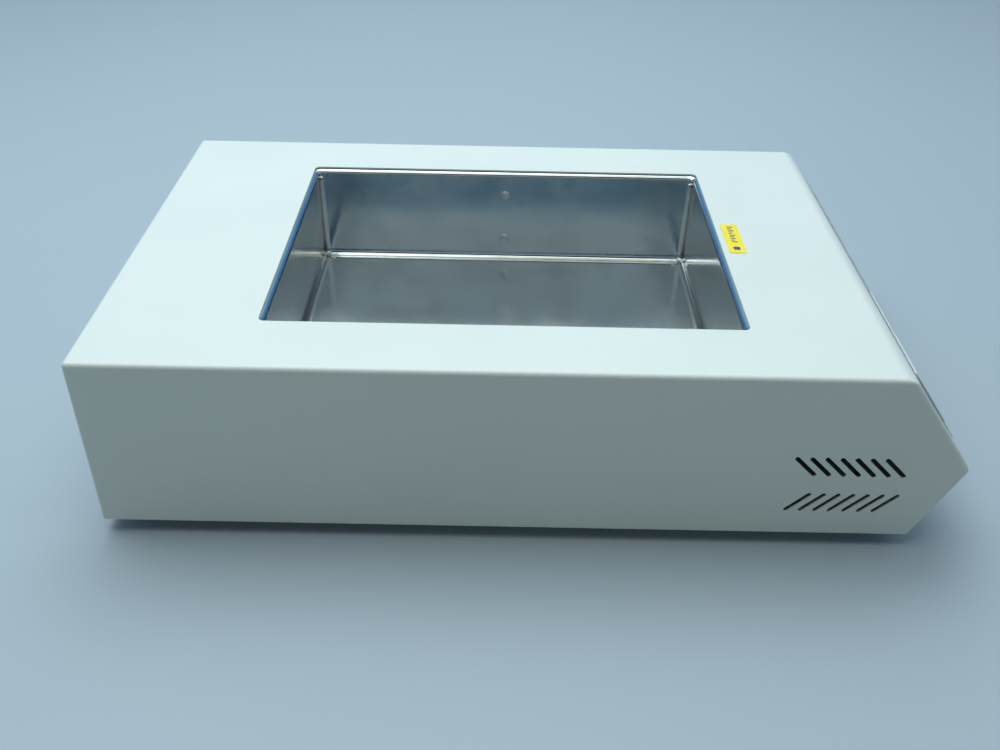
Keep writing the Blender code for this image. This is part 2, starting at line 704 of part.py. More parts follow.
def heater_and_insulation():
    heater = moved(rounded_rectangle(HEATER_LENGTH, HEATER_WIDTH, 0.008, 3), TANK_X, 0)
    prism("heater_mat", heater, HEATER_BOTTOM, HEATER_TOP, "orange_silicone")
    pad = moved(rounded_rectangle(HEATER_LENGTH - 0.008, HEATER_WIDTH + 0.012, 0.006, 2), TANK_X, 0)
    prism("bottom_insulation", pad, PLATE_TOP + GAP, HEATER_BOTTOM - GAP, "glass_wool")

    inner, outer = TANK_SHEET + GAP, TANK_SHEET + GAP + INSULATION
    low, high = TANK_UNDER_Z + 0.002, TANK_RIM_Z - 0.008
    profile = [(inner, low), (outer, low), (outer, high), (inner, high)]
    lining = loft("side_insulation", [tank_ring(out, z) for out, z in profile], "glass_wool", closed=True)
    pocket = block(
        "pocket_cutter",
        (TANK_X - 0.055, TANK_WIDTH / 2, SENSOR_STUD_HEIGHTS[0] - 0.012),
        (TANK_X + 0.055, TANK_WIDTH / 2 + 2 * INSULATION, DECK_Z),
        "glass_wool",
    )
    cut(lining, pocket)


# ---------------------------------------------------------------------------- control face

def face_empty(name, middle, across, up):
    """An empty on an outer face. Its X runs to the right of whoever looks at the face, Y up, and Z out."""
    made = bpy.data.objects.new(name, None)
    bpy.context.scene.collection.objects.link(made)
    turn = Matrix((across, up, across.cross(up))).transposed().to_4x4()
    made.matrix_world = Matrix.Translation(middle) @ turn
    return made


def control_face():
    brow, nose = (Vector((x, 0, z)) for x, z in SIDE_OUTLINE[2:4])
    return face_empty("control_face", (brow + nose) / 2, Vector((0, 1, 0)), (brow - nose).normalized())


def rear_wall_face():
    return face_empty("rear_face", Vector((REAR_X, 0, REAR_HEIGHT)), Vector((0, -1, 0)), Vector((0, 0, 1)))


def child_empty(name, parent, place):
    made = bpy.data.objects.new(name, None)
    bpy.context.scene.collection.objects.link(made)
    made.parent = parent
    made.location = place
    return made


FASCIA_BACK = GAP
FASCIA_FRONT = FASCIA_BACK + FASCIA_THICKNESS


def fascia(face):
    """The dark plate on the slope, cut for the controls."""
    outline = rounded_rectangle(FASCIA_WIDTH, FASCIA_HEIGHT, FASCIA_CORNER, 3)
    plate = prism("fascia", outline, FASCIA_BACK, FASCIA_FRONT, "grey_fascia", face)
    holes = control_holes(FRAME_WIDTH + 2 * GAP, FRAME_HEIGHT + 2 * GAP)
    cut(plate, face_cutter("fascia_cutter", holes, face))


def display(face):
    """The window in its frame, the digits' block behind it and the board that carries them."""
    outline = moved(rounded_rectangle(WINDOW_WIDTH, WINDOW_HEIGHT, 0.0012, 2), *WINDOW_PLACE)
    prism("display_window", outline, FASCIA_BACK, FASCIA_FRONT + 0.0002, "red_window", face)
    frame_front = FASCIA_FRONT + FRAME_RISE
    rings = [
        (FRAME_WIDTH, FRAME_HEIGHT, 0.003, FASCIA_BACK),
        (FRAME_WIDTH, FRAME_HEIGHT, 0.003, frame_front - 0.0003),
        (FRAME_WIDTH - 0.0006, FRAME_HEIGHT - 0.0006, 0.0027, frame_front),
        (WINDOW_WIDTH + 2 * GAP, WINDOW_HEIGHT + 2 * GAP, 0.0015, frame_front),
        (WINDOW_WIDTH + 2 * GAP, WINDOW_HEIGHT + 2 * GAP, 0.0015, FASCIA_BACK),
    ]
    rings = [level(moved(rounded_rectangle(*size, 3), *WINDOW_PLACE), z) for *size, z in rings]
    loft("display_frame", rings, "silver_trim", face, closed=True)
    x, y = WINDOW_PLACE
    front = -SHEET - GAP
    board_front = front - 0.008
    digits = ((x - 0.034, y - 0.011, board_front + GAP), (x + 0.034, y + 0.011, front))
    block("display_digits", *digits, "black_plastic", face)
    left, right = WINDOW_PLACE[0] - 0.040, KEY_PLACES[-1][0] + 0.012
    board = ((left, -0.021, board_front - BOARD_THICKNESS), (right, 0.021, board_front))
    block("display_board", *board, "board_green", face)


def keys(face):
    """Four square keys, each kept in by a flange behind the slope."""
    for name, place in zip(KEY_NAMES, KEY_PLACES):
        origin = child_empty(name + "_axis", face, (*place, 0))
        back = -SHEET - GAP
        top = FASCIA_FRONT + KEY_RISE
        key = rounded_rectangle(KEY_SIDE, KEY_SIDE, 0.0012, 2)
        crown = rounded_rectangle(KEY_SIDE - 0.0008, KEY_SIDE - 0.0008, 0.0009, 2)
        flange = rounded_rectangle(KEY_SIDE + 0.003, KEY_SIDE + 0.003, 0.0012, 2)
        rings = [
            level(flange, back - 0.0012),
            level(flange, back),
            level(key, back),
            level(key, top - 0.0003),
            level(crown, top),
        ]
        loft(name, rings, "key_grey", origin)


def lamps(face):
    for name, place in zip(LAMP_NAMES, LAMP_PLACES):
        origin = child_empty(name + "_axis", face, (*place, 0))
        r = LAMP_RADIUS
        profile = [(r, -SHEET - 0.006), (r, FASCIA_FRONT), (0.7 * r, FASCIA_FRONT + 0.0002)]
        turned(name, profile, "amber_lens", origin)


# ---------------------------------------------------------------------------- rear fittings

SWITCH_NECK = (ROCKER_WIDTH + 0.0038, ROCKER_HEIGHT + 0.0038)
SWITCH_WELL = 0.0075  # how deep the well is that the rocker moves in


def power_switch(face):
    """A switch body with its bezel and well, and the rocker on its pivot."""
    origin = child_empty("switch_axis", face, (-SWITCH_SIDE, 0, 0))
    rim = GAP + BEZEL_HEIGHT
    width, height = SWITCH_NECK[0] + 0.0045, SWITCH_NECK[1] + 0.0045
    flange = rounded_rectangle(width, height, 0.002, 2)
    inner = rounded_rectangle(width - 0.001, height - 0.001, 0.0016, 2)
    neck = rounded_rectangle(*SWITCH_NECK, 0.0007, 2)
    well = rounded_rectangle(ROCKER_WIDTH + 2 * FREE, ROCKER_HEIGHT + 4 * FREE, 0.0005, 2)
    rings = [
        level(well, rim - SWITCH_WELL),
        level(well, rim),
        level(inner, rim),
        level(flange, rim - 0.0006),
        level(flange, GAP),
        level(neck, GAP),
        level(neck, -0.022),
    ]
    loft("switch_body", rings, "black_plastic", origin)

    pivot = child_empty("rocker_axis", origin, (0, 0, rim - 0.0011))
    pivot.rotation_euler.x = ROCKER_TILT
    half, crest = ROCKER_HEIGHT / 2 - 0.0004, 0.0030
    dish = 0.0016  # how far the middle of the rocker's face lies below its ends
    shares = [1 - i / 4 for i in range(9)]
    outline = [(half * share, crest - dish * (1 - share**2)) for share in shares]
    outline += [(-half + 0.0006, -0.0008), (-0.0045, -0.0040), (0.0045, -0.0040), (half - 0.0006, -0.0008)]
    rings = [[(x, y, z) for y, z in outline] for x in (-ROCKER_WIDTH / 2, ROCKER_WIDTH / 2)]
    loft("power_rocker", rings, "black_plastic", pivot)


def limiter(face):
    """The over-temperature cut-out, with its collar through the rear wall and its reset button."""
    origin = child_empty("limiter_axis", face, (-LIMITER_SIDE, 0, 0))
    back = -SHEET - GAP
    width, height, depth = LIMITER_BODY
    body = rounded_rectangle(width, height, 0.002, 2)
    neck, bore = COLLAR_RADIUS - 0.002, RESET_RADIUS - 0.0012 + FREE
    made = prism("limit_thermostat", body, back - depth, back, "black_plastic", origin)
    front = GAP + COLLAR_HEIGHT
    collar = turned("limiter_neck", [(neck, back - SHEET), (neck, GAP + 0.0004)], "black_plastic", origin, 24)
    rim_profile = [(COLLAR_RADIUS, GAP), (COLLAR_RADIUS - 0.0004, front)]
    rim = turned("limiter_collar", rim_profile, "black_plastic", origin, 24)
    join(made, collar, rim)
    bore_profile = [(bore, back - 0.010), (bore, front + SHEET)]
    cut(made, turned("limiter_bore", bore_profile, "black_plastic", origin, 24))
    stem = bore - FREE
    profile = [
        (stem, back - 0.007),
        (stem, front + RESET_TRAVEL + GAP),
        (RESET_RADIUS, front + RESET_TRAVEL + GAP),
        (RESET_RADIUS, REAR_FITTINGS - 0.0006),
        (RESET_RADIUS - 0.0006, REAR_FITTINGS),
    ]
    turned("limit_reset", profile, "reset_red", origin, 24)


# ---------------------------------------------------------------------------- inlet and electronics

def inlet_screw_places():
    return [(INLET_SIDE + side * INLET_SCREW_SPACING / 2, REAR_HEIGHT) for side in (-1, 1)]


def inlet_cutters():
    """The rear wall's hole for the inlet and its two screw holes."""
    width, height = INLET_BODY[0] + 2 * GAP, INLET_BODY[1] + 2 * GAP
    low, high = REAR_X - SHEET, REAR_X + 2 * SHEET
    hole = moved(rounded_rectangle(width, height, 0.001, 2), INLET_SIDE, REAR_HEIGHT)
    return [
        prism("inlet_cutter", hole, low, high, "ivory_powder_coat", stand=facing_back),
        pegs("inlet_screw_holes", 0.0018, inlet_screw_places(), low, high, facing_back),
    ]


def screw_rings(profile, y, z):
    """Rings of a screw that points along the bath, from (radius, x) points."""
    return [facing_back(moved(circle(r), y, z), x) for r, x in profile]


def inlet():
    """The mains inlet: a body with a well and three pins for the plug, over a slot for the fuse drawer."""
    width, height, thickness = INLET_FLANGE
    face = REAR_X - GAP - thickness
    flange = moved(rounded_rectangle(width, height, 0.004, 2), INLET_SIDE, REAR_HEIGHT)
    made = prism("inlet", flange, face, REAR_X - GAP, "black_plastic", stand=facing_back)
    body = moved(rounded_rectangle(INLET_BODY[0], INLET_BODY[1], 0.0008, 2), INLET_SIDE, REAR_HEIGHT)
    back = REAR_X + INLET_BODY[2]
    within = REAR_X - GAP - thickness / 2
    join(made, prism("inlet_body", body, within, back, "black_plastic", stand=facing_back))

    width, height, _ = SOCKET_SIZE
    well = moved(chamfered_socket(width, height, SOCKET_CHAMFER), INLET_SIDE, REAR_HEIGHT + SOCKET_LIFT)
    floor = face + SOCKET_SIZE[2]
    well_cutter = prism("well_cutter", well, face - SHEET, floor, "black_plastic", stand=facing_back)
    dw, dh, dd = DRAWER_SIZE
    slot = rounded_rectangle(dw + 2 * GAP, dh + 2 * GAP, 0.0005, 2)
    slot = moved(slot, INLET_SIDE, REAR_HEIGHT - DRAWER_DROP)
    slot_cutter = prism("slot_cutter", slot, face - SHEET, face + dd + GAP, "black_plastic", stand=facing_back)
    countersink = ((0.0035, face - 0.0001), (0.0018, face + 0.0017), (0.0018, REAR_X + SHEET))
    holes = [screw_rings(countersink, *place) for place in inlet_screw_places()]
    cut(made, well_cutter, slot_cutter, several("inlet_flange_holes", holes, "black_plastic"))
    pins = []
    for dy, dz in ((-PIN_SPACING, -0.001), (0, 0.003), (PIN_SPACING, -0.001)):
        y, z = INLET_SIDE + dy, REAR_HEIGHT + SOCKET_LIFT + dz
        pin = moved(rounded_rectangle(*PIN_SIZE, 0.0004, 1), y, z)
        pins.append([facing_back(pin, face + PIN_SETBACK), facing_back(pin, floor + 0.003)])
    join(made, several("inlet_pins", pins, "dull_zinc"))

    slide = moved(rounded_rectangle(dw, dh, 0.0004, 2), INLET_SIDE, REAR_HEIGHT - DRAWER_DROP)
    prism("fuse_drawer", slide, face + 0.0002, face + dd, "black_plastic", stand=facing_back)

    for i, place in enumerate(inlet_screw_places(), 1):
        profile = ((0.0031, face + 0.0001), (0.0014, face + 0.0017), (0.0014, REAR_X + 0.007))
        loft(f"inlet_screw_{i}", screw_rings(profile, *place), "dull_zinc")


def electronics():
    """The power board on its four standoffs, with its relay, transformer and terminals."""
    x0, x1 = (rear(at) for at in POWER_BOARD_AT)
    y0, y1 = POWER_BOARD_SIDES
    board = block("power_board", (x0, y0, BOARD_Z), (x1, y1, BOARD_Z + BOARD_THICKNESS), "board_green")
    inset = 0.006
    corners = [(x, y) for x in (x0 + inset, x1 - inset) for y in (y0 + inset, y1 - inset)]
    low = PLATE_TOP + GAP
    for i, (x, y) in enumerate(corners, 1):
        post = [level(moved(circle(STANDOFF_RADIUS), x, y), z) for z in (low, low + STANDOFF_HEIGHT)]
        loft(f"board_standoff_{i}", post, "dull_zinc")
    top = BOARD_Z + BOARD_THICKNESS + GAP
    block("relay", (x0 + 0.018, 0.020, top), (x0 + 0.046, 0.034, top + 0.016), "relay_blue")
    block("transformer", (x0 + 0.016, 0.045, top), (x0 + 0.051, 0.085, top + 0.024), "black_plastic")
    block("terminal_block", (x0 + 0.002, -0.060, top), (x0 + 0.012, -0.005, top + 0.013), "wire_sheath")
    return board


def wiring(clamp_middle):
    """The leads that join the inlet, board, heater and sensors."""
    board = rear(POWER_BOARD_AT[0])
    top = BOARD_Z + BOARD_THICKNESS + GAP
    channel = (HALF_WIDTH + TANK_OUTER_Y + INSULATION) / 2
    behind = TANK_X - TANK_LENGTH / 2 - TANK_SHEET - INSULATION
    gate = (TANK_X + HEATER_LENGTH / 2 + board) / 2
    terminal, row = board + 0.002 - GAP, top + 0.007
    start = REAR_X + INLET_BODY[2] + 3 * GAP
    mains = [
        (start, INLET_SIDE, REAR_HEIGHT),
        (start + 0.007, INLET_SIDE, REAR_HEIGHT),
        ((start + behind) / 2, (INLET_SIDE - channel) / 2, REAR_HEIGHT - 0.006),
        (behind + 0.004, 0.003 - channel, 0.048),
        (behind + 0.035, -channel, 0.034),
        (TANK_X - 0.040, -channel, 0.020),
        (TANK_X + 0.100, -channel, 0.019),
        (gate - 0.010, -0.120, 0.021),
        (gate, -0.086, 0.025),
        (gate + 0.007, -0.062, row - 0.001),
        (terminal - 0.010, -0.050, row),
        (terminal - 2 * GAP, -0.050, row),
    ]
    wire("mains_harness", mains, 0.003, "wire_sheath", 0.0065)
    height = (HEATER_TOP + HEATER_BOTTOM) / 2
    edge = TANK_X + HEATER_LENGTH / 2 + GAP
    heat = [
        (edge, -0.012, height),
        (edge + 0.010, -0.012, height - 0.002),
        (edge + 0.026, -0.014, height - 0.010),
        (terminal - 0.010, -0.018, row),
        (terminal, -0.018, row),
    ]
    wire("heater_lead", heat, 0.0007, "wire_sheath", 0.005)
    end = TANK_X + PROBE_LENGTH / 2 + GAP
    height = clamp_middle + PROBE_DROP
    probe = [
        (end, PROBE_Y, height),
        (end + 0.006, PROBE_Y, height),
        (end + 0.014, PROBE_Y + 0.012, height - 0.002),
        (end + 0.021, PROBE_Y + 0.026, height - 0.006),
        (end + 0.060, channel, height - 0.018),
        (board - 0.010, channel - 0.008, height - 0.045),
        (board + 0.030, 0.106, 0.045),
        (board + 0.040, 0.092, top + 0.012),
        (board + 0.040, 0.092, top),
    ]
    wire("probe_lead", probe, 0.0013, "wire_sheath", 0.008)
    end = TANK_X - PROBE_LENGTH / 2 - GAP
    height = clamp_middle - PROBE_DROP
    inside = REAR_X + SHEET + LIMITER_BODY[2] + 3 * GAP
    capillary = [
        (end, PROBE_Y, height),
        (end - 0.006, PROBE_Y, height),
        (end - 0.014, PROBE_Y + 0.012, height - 0.001),
        (end - 0.021, PROBE_Y + 0.026, height - 0.004),
        (end - 0.070, channel + 0.002, height - 0.012),
        (behind + 0.004, channel, REAR_HEIGHT + 0.008),
        ((behind + inside) / 2, (channel + LIMITER_SIDE) / 2, REAR_HEIGHT + 0.004),
        (inside + 0.006, LIMITER_SIDE + 0.001, REAR_HEIGHT),
        (inside, LIMITER_SIDE, REAR_HEIGHT),
    ]
    wire("limit_capillary", capillary, 0.0009, "copper", 0.007)


def deck_label():
    length, width, thickness = LABEL_SIZE
    outline = moved(rounded_rectangle(length, width, 0.0008, 2), TANK_X + OPENING_LENGTH / 2 + LABEL_MARGIN, LABEL_SIDE)
    prism("deck_label", outline, DECK_Z + GAP, DECK_Z + GAP + thickness, "label_yellow")


# ---------------------------------------------------------------------------- the whole bath

def main():
    for obj in list(bpy.data.objects):
        bpy.data.objects.remove(obj)
    front, rear_face = control_face(), rear_wall_face()
    cover_housing(front, rear_face)
    base_pan()
    hem_screws()
    feet()
    tank()
    tank_seal()
    flange_nuts()
    clamp_middle = sensor_clamp()
    heater_and_insulation()
    fascia(front)
    display(front)
    keys(front)
    lamps(front)
    power_switch(rear_face)
    limiter(rear_face)
    inlet()
    electronics()
    wiring(clamp_middle)
    deck_label()


main()
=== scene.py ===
"""Dresses a shallow laboratory water bath: powder-coated case, stainless tank, controls and fittings."""

import json
import math

import bmesh
import bpy
from bpy.props import FloatProperty, FloatVectorProperty, PointerProperty
from mathutils import Matrix, Vector


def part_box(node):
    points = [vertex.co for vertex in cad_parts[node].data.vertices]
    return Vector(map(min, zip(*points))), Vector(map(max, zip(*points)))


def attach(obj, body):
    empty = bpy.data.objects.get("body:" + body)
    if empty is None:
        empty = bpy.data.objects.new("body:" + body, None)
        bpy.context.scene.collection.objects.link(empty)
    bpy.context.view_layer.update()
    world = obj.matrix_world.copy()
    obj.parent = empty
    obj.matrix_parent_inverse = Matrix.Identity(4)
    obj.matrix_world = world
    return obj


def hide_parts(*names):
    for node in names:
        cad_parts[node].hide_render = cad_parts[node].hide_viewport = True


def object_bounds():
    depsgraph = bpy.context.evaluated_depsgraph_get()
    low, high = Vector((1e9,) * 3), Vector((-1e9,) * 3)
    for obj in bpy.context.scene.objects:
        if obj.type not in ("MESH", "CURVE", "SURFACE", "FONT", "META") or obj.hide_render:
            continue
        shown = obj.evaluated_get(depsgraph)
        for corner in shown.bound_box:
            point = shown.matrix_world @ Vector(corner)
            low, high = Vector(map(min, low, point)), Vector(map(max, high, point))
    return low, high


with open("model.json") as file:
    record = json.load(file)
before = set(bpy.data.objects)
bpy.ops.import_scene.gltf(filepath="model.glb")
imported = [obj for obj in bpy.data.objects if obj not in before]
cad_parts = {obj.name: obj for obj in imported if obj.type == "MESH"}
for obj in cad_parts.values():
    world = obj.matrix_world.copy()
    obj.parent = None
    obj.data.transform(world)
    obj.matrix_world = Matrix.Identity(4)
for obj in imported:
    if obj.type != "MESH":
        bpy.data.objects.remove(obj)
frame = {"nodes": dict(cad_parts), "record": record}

bl_info = {
    "name": "Water Bath",
    "version": (1, 0, 0),
    "blender": (4, 5, 0),
    "location": "View3D > Sidebar > Water Bath",
    "description": "Builds a shallow laboratory water bath around its CAD frame",
    "category": "Object",
}

# ---------------------------------------------------------------------------- places, from the frame

CAD_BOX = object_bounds()
BODIES = frame["record"]["behaviour"]["bodies"]
CASE_LOW, CASE_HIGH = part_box("cover_housing")
TANK_LOW, TANK_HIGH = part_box("tank")
REAR_X, NOSE_X, HALF_WIDTH = CASE_LOW.x, CASE_HIGH.x, CASE_HIGH.y
STAND_Z, DECK_Z = CASE_LOW.z, CASE_HIGH.z

SHEET = 0.0012
GAP = 0.0003
BROW_X = REAR_X + 0.489
SILL_X = REAR_X + 0.511
NOSE_Z = STAND_Z + 0.055
HEM_WIDTH = 0.012
HEM_STOP_X = REAR_X + 0.498
SIDE_OUTLINE = ((REAR_X, STAND_Z), (REAR_X, DECK_Z), (BROW_X, DECK_Z), (NOSE_X, NOSE_Z), (SILL_X, STAND_Z))

TANK_SHEET = 0.001
TANK_FLANGE = 0.024
TANK_STEP = 0.003
TANK_X = (TANK_LOW.x + TANK_HIGH.x) / 2
TANK_LENGTH = TANK_HIGH.x - TANK_LOW.x - 2 * TANK_FLANGE
TANK_WIDTH = -2 * TANK_LOW.y - 2 * TANK_FLANGE
RIM_Z = TANK_HIGH.z
FLOOR_Z = TANK_LOW.z + TANK_SHEET
OPENING_LENGTH = TANK_LENGTH + 2 * TANK_STEP
OPENING_WIDTH = TANK_WIDTH + 2 * TANK_STEP
STUD_HEIGHTS = (0.0716, 0.110)

VENT_LENGTH, VENT_WIDTH, VENT_PITCH = 0.0203, 0.0030, 0.00912
VENT_COUNT = 7
VENT_X = REAR_X + 0.4372
VENT_ROWS = ((STAND_Z + 0.0263, 45), (STAND_Z + 0.0548, -45))
FLANGE_STUDS = [
    (TANK_X + across * (TANK_LENGTH / 2 - 0.020), side * (TANK_WIDTH / 2 + 0.016))
    for across in (-1, 1)
    for side in (-1, 1)
]
STUD_RADIUS = 0.002


def face_frame(middle, across, up):
    """Axes on an outer face: X to the right of whoever looks at it, Y up and Z out."""
    turn = Matrix((across, up, across.cross(up))).transposed().to_4x4()
    return Matrix.Translation(middle) @ turn


BROW, NOSE = Vector((BROW_X, 0, DECK_Z)), Vector((NOSE_X, 0, NOSE_Z))
CONTROL_FACE = face_frame((BROW + NOSE) / 2, Vector((0, 1, 0)), (BROW - NOSE).normalized())
FILM_BACK, FILM_FRONT = GAP, GAP + 0.0004
FILM_SIZE, FILM_CORNER = (0.296, 0.058), 0.004
FRAME_SIZE, WINDOW_SIZE, FRAME_RISE = (0.098, 0.046), (0.082, 0.030), 0.0006
WINDOW_PLACE = (-0.089, 0.0)
LAMP_PLACES = {"lamp_heat": (-0.022, 0.008), "lamp_limit": (-0.022, -0.008)}
KEY_PLACES = {"key_standby": 0.010, "key_set": 0.042, "key_down": 0.074, "key_up": 0.106}
KEY_SIDE, KEY_CORNER, KEY_FRONT = 0.013, 0.0012, FILM_FRONT + 0.0001
LAMP_RADIUS, LAMP_FRONT = 0.0022, FILM_FRONT + 0.0002
FIGURE_PITCH = 0.0155

REAR_HEIGHT = 0.066
REAR_FACE = face_frame(Vector((REAR_X, 0, REAR_HEIGHT)), Vector((0, -1, 0)), Vector((0, 0, 1)))
INLET_SIDE, SWITCH_SIDE, LIMITER_SIDE = -0.095, -0.040, 0.085
INLET_FRONT = REAR_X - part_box("inlet")[0].x
INLET_BACK, INLET_SCREW_SIDE = (0.0285, 0.0325), 0.020
WELL_HEIGHT, DRAWER_HEIGHT = 0.0065, -0.0105
ROCKER_SIZE, ROCKER_TILT = (0.0165, 0.0235), math.radians(8)
SWITCH_NECK = (ROCKER_SIZE[0] + 0.0038, ROCKER_SIZE[1] + 0.0038)
ROCKER_HALF, ROCKER_CREST, ROCKER_DISH = ROCKER_SIZE[1] / 2 - 0.0004, 0.0030, 0.0016
ROCKER_MARK = 0.0068
BEZEL_HEIGHT, SWITCH_WELL = 0.0016, 0.0075
LIMITER_HOLE, COLLAR_FRONT = 0.0048, GAP + 0.0012
RESET_FRONT = REAR_X - CAD_BOX[0][0]

SCREW_SIZES = {"foot_screw": (0.002, 0.004), "base_screw": (0.0016, 0.0032)}
SCREW_HEAD_HEIGHT = 0.0022
CUTTER_RISE = 0.0006

FLOOR_SIDE = 12
CAMERA_PLACE = (-0.01724, -0.64017, 0.46341)
CAMERA_TURN = (54.821, -1.0298, 0.4847)


def body_of(node):
    """The name of the CAD body that a node belongs to."""
    return next(body for body, members in BODIES.items() if node in members)


# ---------------------------------------------------------------------------- outlines

def circle(radius, steps=48):
    turns = [2 * math.pi * i / steps for i in range(steps)]
    return [(radius * math.cos(a), radius * math.sin(a)) for a in turns]


def rounded_rectangle(length, width, corner, steps=6):
    """A rectangle about the origin with its corners rounded by arcs, anticlockwise."""
    points = []
    for quarter, (sx, sy) in enumerate(((1, 1), (-1, 1), (-1, -1), (1, -1))):
        cx, cy = sx * (length / 2 - corner), sy * (width / 2 - corner)
        for i in range(steps + 1):
            a = math.pi / 2 * (quarter + i / steps)
            points.append((cx + corner * math.cos(a), cy + corner * math.sin(a)))
    return points


def slot_outline(length, width, degrees, steps=10):
    """A slot with round ends about the origin, turned by an angle."""
    half, radius = (length - width) / 2, width / 2
    turn = Matrix.Rotation(math.radians(degrees), 2)
    points = []
    for end in (0, 1):
        for i in range(steps + 1):
            a = math.pi * (end + i / steps) - math.pi / 2
            points.append(turn @ Vector((half * (1 - 2 * end) + radius * math.cos(a), radius * math.sin(a))))
    return [tuple(p) for p in points]


def moved(outline, x, y):
    return [(px + x, py + y) for px, py in outline]


def cross_outline(reach, half):
    """The outline of a cross recess, anticlockwise."""
    arm = [(reach, -half), (reach, half), (half, half)]
    points = []
    for _ in range(4):
        points += arm
        arm = [(-y, x) for x, y in arm]
    return points


def arc(radius, start, end, steps):
    """Points on an arc about the origin, from one angle in degrees to another."""
    turns = [math.radians(start + (end - start) * i / steps) for i in range(steps + 1)]
    return [(radius * math.cos(a), radius * math.sin(a)) for a in turns]


def line_crossing(p, d, q, e):
    """Where the line through p along d meets the line through q along e."""
    share = ((q[0] - p[0]) * e[1] - (q[1] - p[1]) * e[0]) / (d[0] * e[1] - d[1] * e[0])
    return (p[0] + share * d[0], p[1] + share * d[1])


def inset_outline(points, insets):
    """A clockwise outline with each side moved in by its own distance."""
    sides = []
    for i, inset in enumerate(insets):
        (x0, y0), (x1, y1) = points[i], points[(i + 1) % len(points)]
        length = math.hypot(x1 - x0, y1 - y0)
        dx, dy = (x1 - x0) / length, (y1 - y0) / length
        sides.append(((x0 + dy * inset, y0 - dx * inset), (dx, dy)))
    return [line_crossing(*sides[i - 1], *sides[i]) for i in range(len(sides))]


def level(outline, z):
    """An (x, y) outline, lying at z."""
    return [(x, y, z) for x, y in outline]


def upright(outline, y):
    """An (x, z) outline, standing at y."""
    return [(x, y, z) for x, z in outline]


def quarter_turn(steps):
    return [math.pi / 2 * i / steps for i in range(steps + 1)]


def rounding(edge, top, steps):
    """A rounded edge from the side of a piece to its top, as (distance in, height) pairs."""
    return [(edge * (1 - math.cos(a)), top - edge * (1 - math.sin(a))) for a in quarter_turn(steps)]


def dome(radius, rise, top):
    """The (radius, height) points of a low dome, but for its middle."""
    return [(radius * math.cos(a), top - rise * (1 - math.sin(a))) for a in quarter_turn(6)[:-1]]


def middle_of(node):
    """The (x, y) middle of a CAD node."""
    low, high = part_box(node)
    return ((low.x + high.x) / 2, (low.y + high.y) / 2)


# ---------------------------------------------------------------------------- solids

def new_object(name, shape):
    """Puts a bmesh in the scene."""
    bmesh.ops.recalc_face_normals(shape, faces=shape.faces)
    mesh = bpy.data.meshes.new(name)
    shape.to_mesh(mesh)
    shape.free()
    made = bpy.data.objects.new(name, mesh)
    bpy.context.scene.collection.objects.link(made)
    return made


def solids(name, ring_lists, closed=False):
    """Skins lists of rings, each list a solid: its ends are capped, or joined to each other if closed."""
    shape = bmesh.new()
    for rings in ring_lists:
        rows = [[shape.verts.new(p) for p in ring] for ring in rings]
        pairs = list(zip(rows, rows[1:]))
        if closed:
            pairs.append((rows[-1], rows[0]))
        else:
            shape.faces.new(rows[0])
            shape.faces.new(rows[-1])
        for low, high in pairs:
            for i, corner in enumerate(low):
                after = (i + 1) % len(low)
                shape.faces.new((corner, low[after], high[after], high[i]))
    return new_object(name, shape)


def solid(name, rings, closed=False):
    return solids(name, [rings], closed)


def plate(name, outline, low, high, edge=0.0):
    """An outline drawn out from low to high, with the edge at high rounded where edge is given."""
    rings = [level(outline, low)]
    middle = [sum(p[k] for p in outline) / len(outline) for k in (0, 1)]
    reach = [max(abs(p[k] - middle[k]) for p in outline) for k in (0, 1)]
    sign = 1 if high > low else -1
    for a in quarter_turn(3) if edge else [0]:
        inset = edge * (1 - math.cos(a))
        shares = [1 - inset / reach[k] for k in (0, 1)]
        ring = [tuple(middle[k] + (p[k] - middle[k]) * shares[k] for k in (0, 1)) for p in outline]
        rings.append(level(ring, high - sign * edge * (1 - math.sin(a))))
    return solid(name, rings)


def turned(name, profile, place=(0, 0), steps=48, closed=False):
    """A round upright solid from (radius, height) points."""
    return solid(name, [level(moved(circle(r, steps), *place), z) for r, z in profile], closed)


def combine(made, operation, *others):
    """Adds other shapes to an object, or cuts them from it."""
    for other in others:
        change = made.modifiers.new(other.name, "BOOLEAN")
        change.operation = operation
        change.object = other
        change.solver = "EXACT"
    settle(made)


def settle(made):
    """Applies the modifiers of an object, and removes the shapes that they used."""
    bpy.context.view_layer.update()
    graph = bpy.context.evaluated_depsgraph_get()
    mesh = bpy.data.meshes.new_from_object(made.evaluated_get(graph))
    used = [change.object for change in made.modifiers if change.type == "BOOLEAN"]
    made.modifiers.clear()
    made.data = mesh
    for other in used:
        bpy.data.objects.remove(other)


def soften(made, width, segments, degrees):
    """Rounds the edges that are sharper than an angle."""
    bevel = made.modifiers.new("edges", "BEVEL")
    bevel.width = width
    bevel.segments = segments
    bevel.limit_method = "ANGLE"
    bevel.angle_limit = math.radians(degrees)
    settle(made)


def smooth(made, degrees=40):
    """Smooth shading that keeps flat faces flat and edges over an angle sharp."""
    made.data.shade_smooth()
    made.data.set_sharp_from_angle(angle=math.radians(degrees))
    weigh = made.modifiers.new("flat_faces", "WEIGHTED_NORMAL")
    weigh.keep_sharp = True


def fit(made, finish, slot, *nodes, body=None, at=None, parent=None, degrees=40):
    """Gives a piece its finish, and has it ride on its body in place of its CAD nodes."""
    made.data.materials.clear()
    made.data.materials.append(finish)
    smooth(made, degrees)
    if at is not None:
        made.matrix_world = at
    if parent is not None:
        bpy.context.view_layer.update()
        world = made.matrix_world.copy()
        made.parent = parent
        made.matrix_world = world
    else:
        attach(made, body or body_of(nodes[0]))
    if nodes:
        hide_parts(*nodes)
    return made


# ---------------------------------------------------------------------------- shader maths

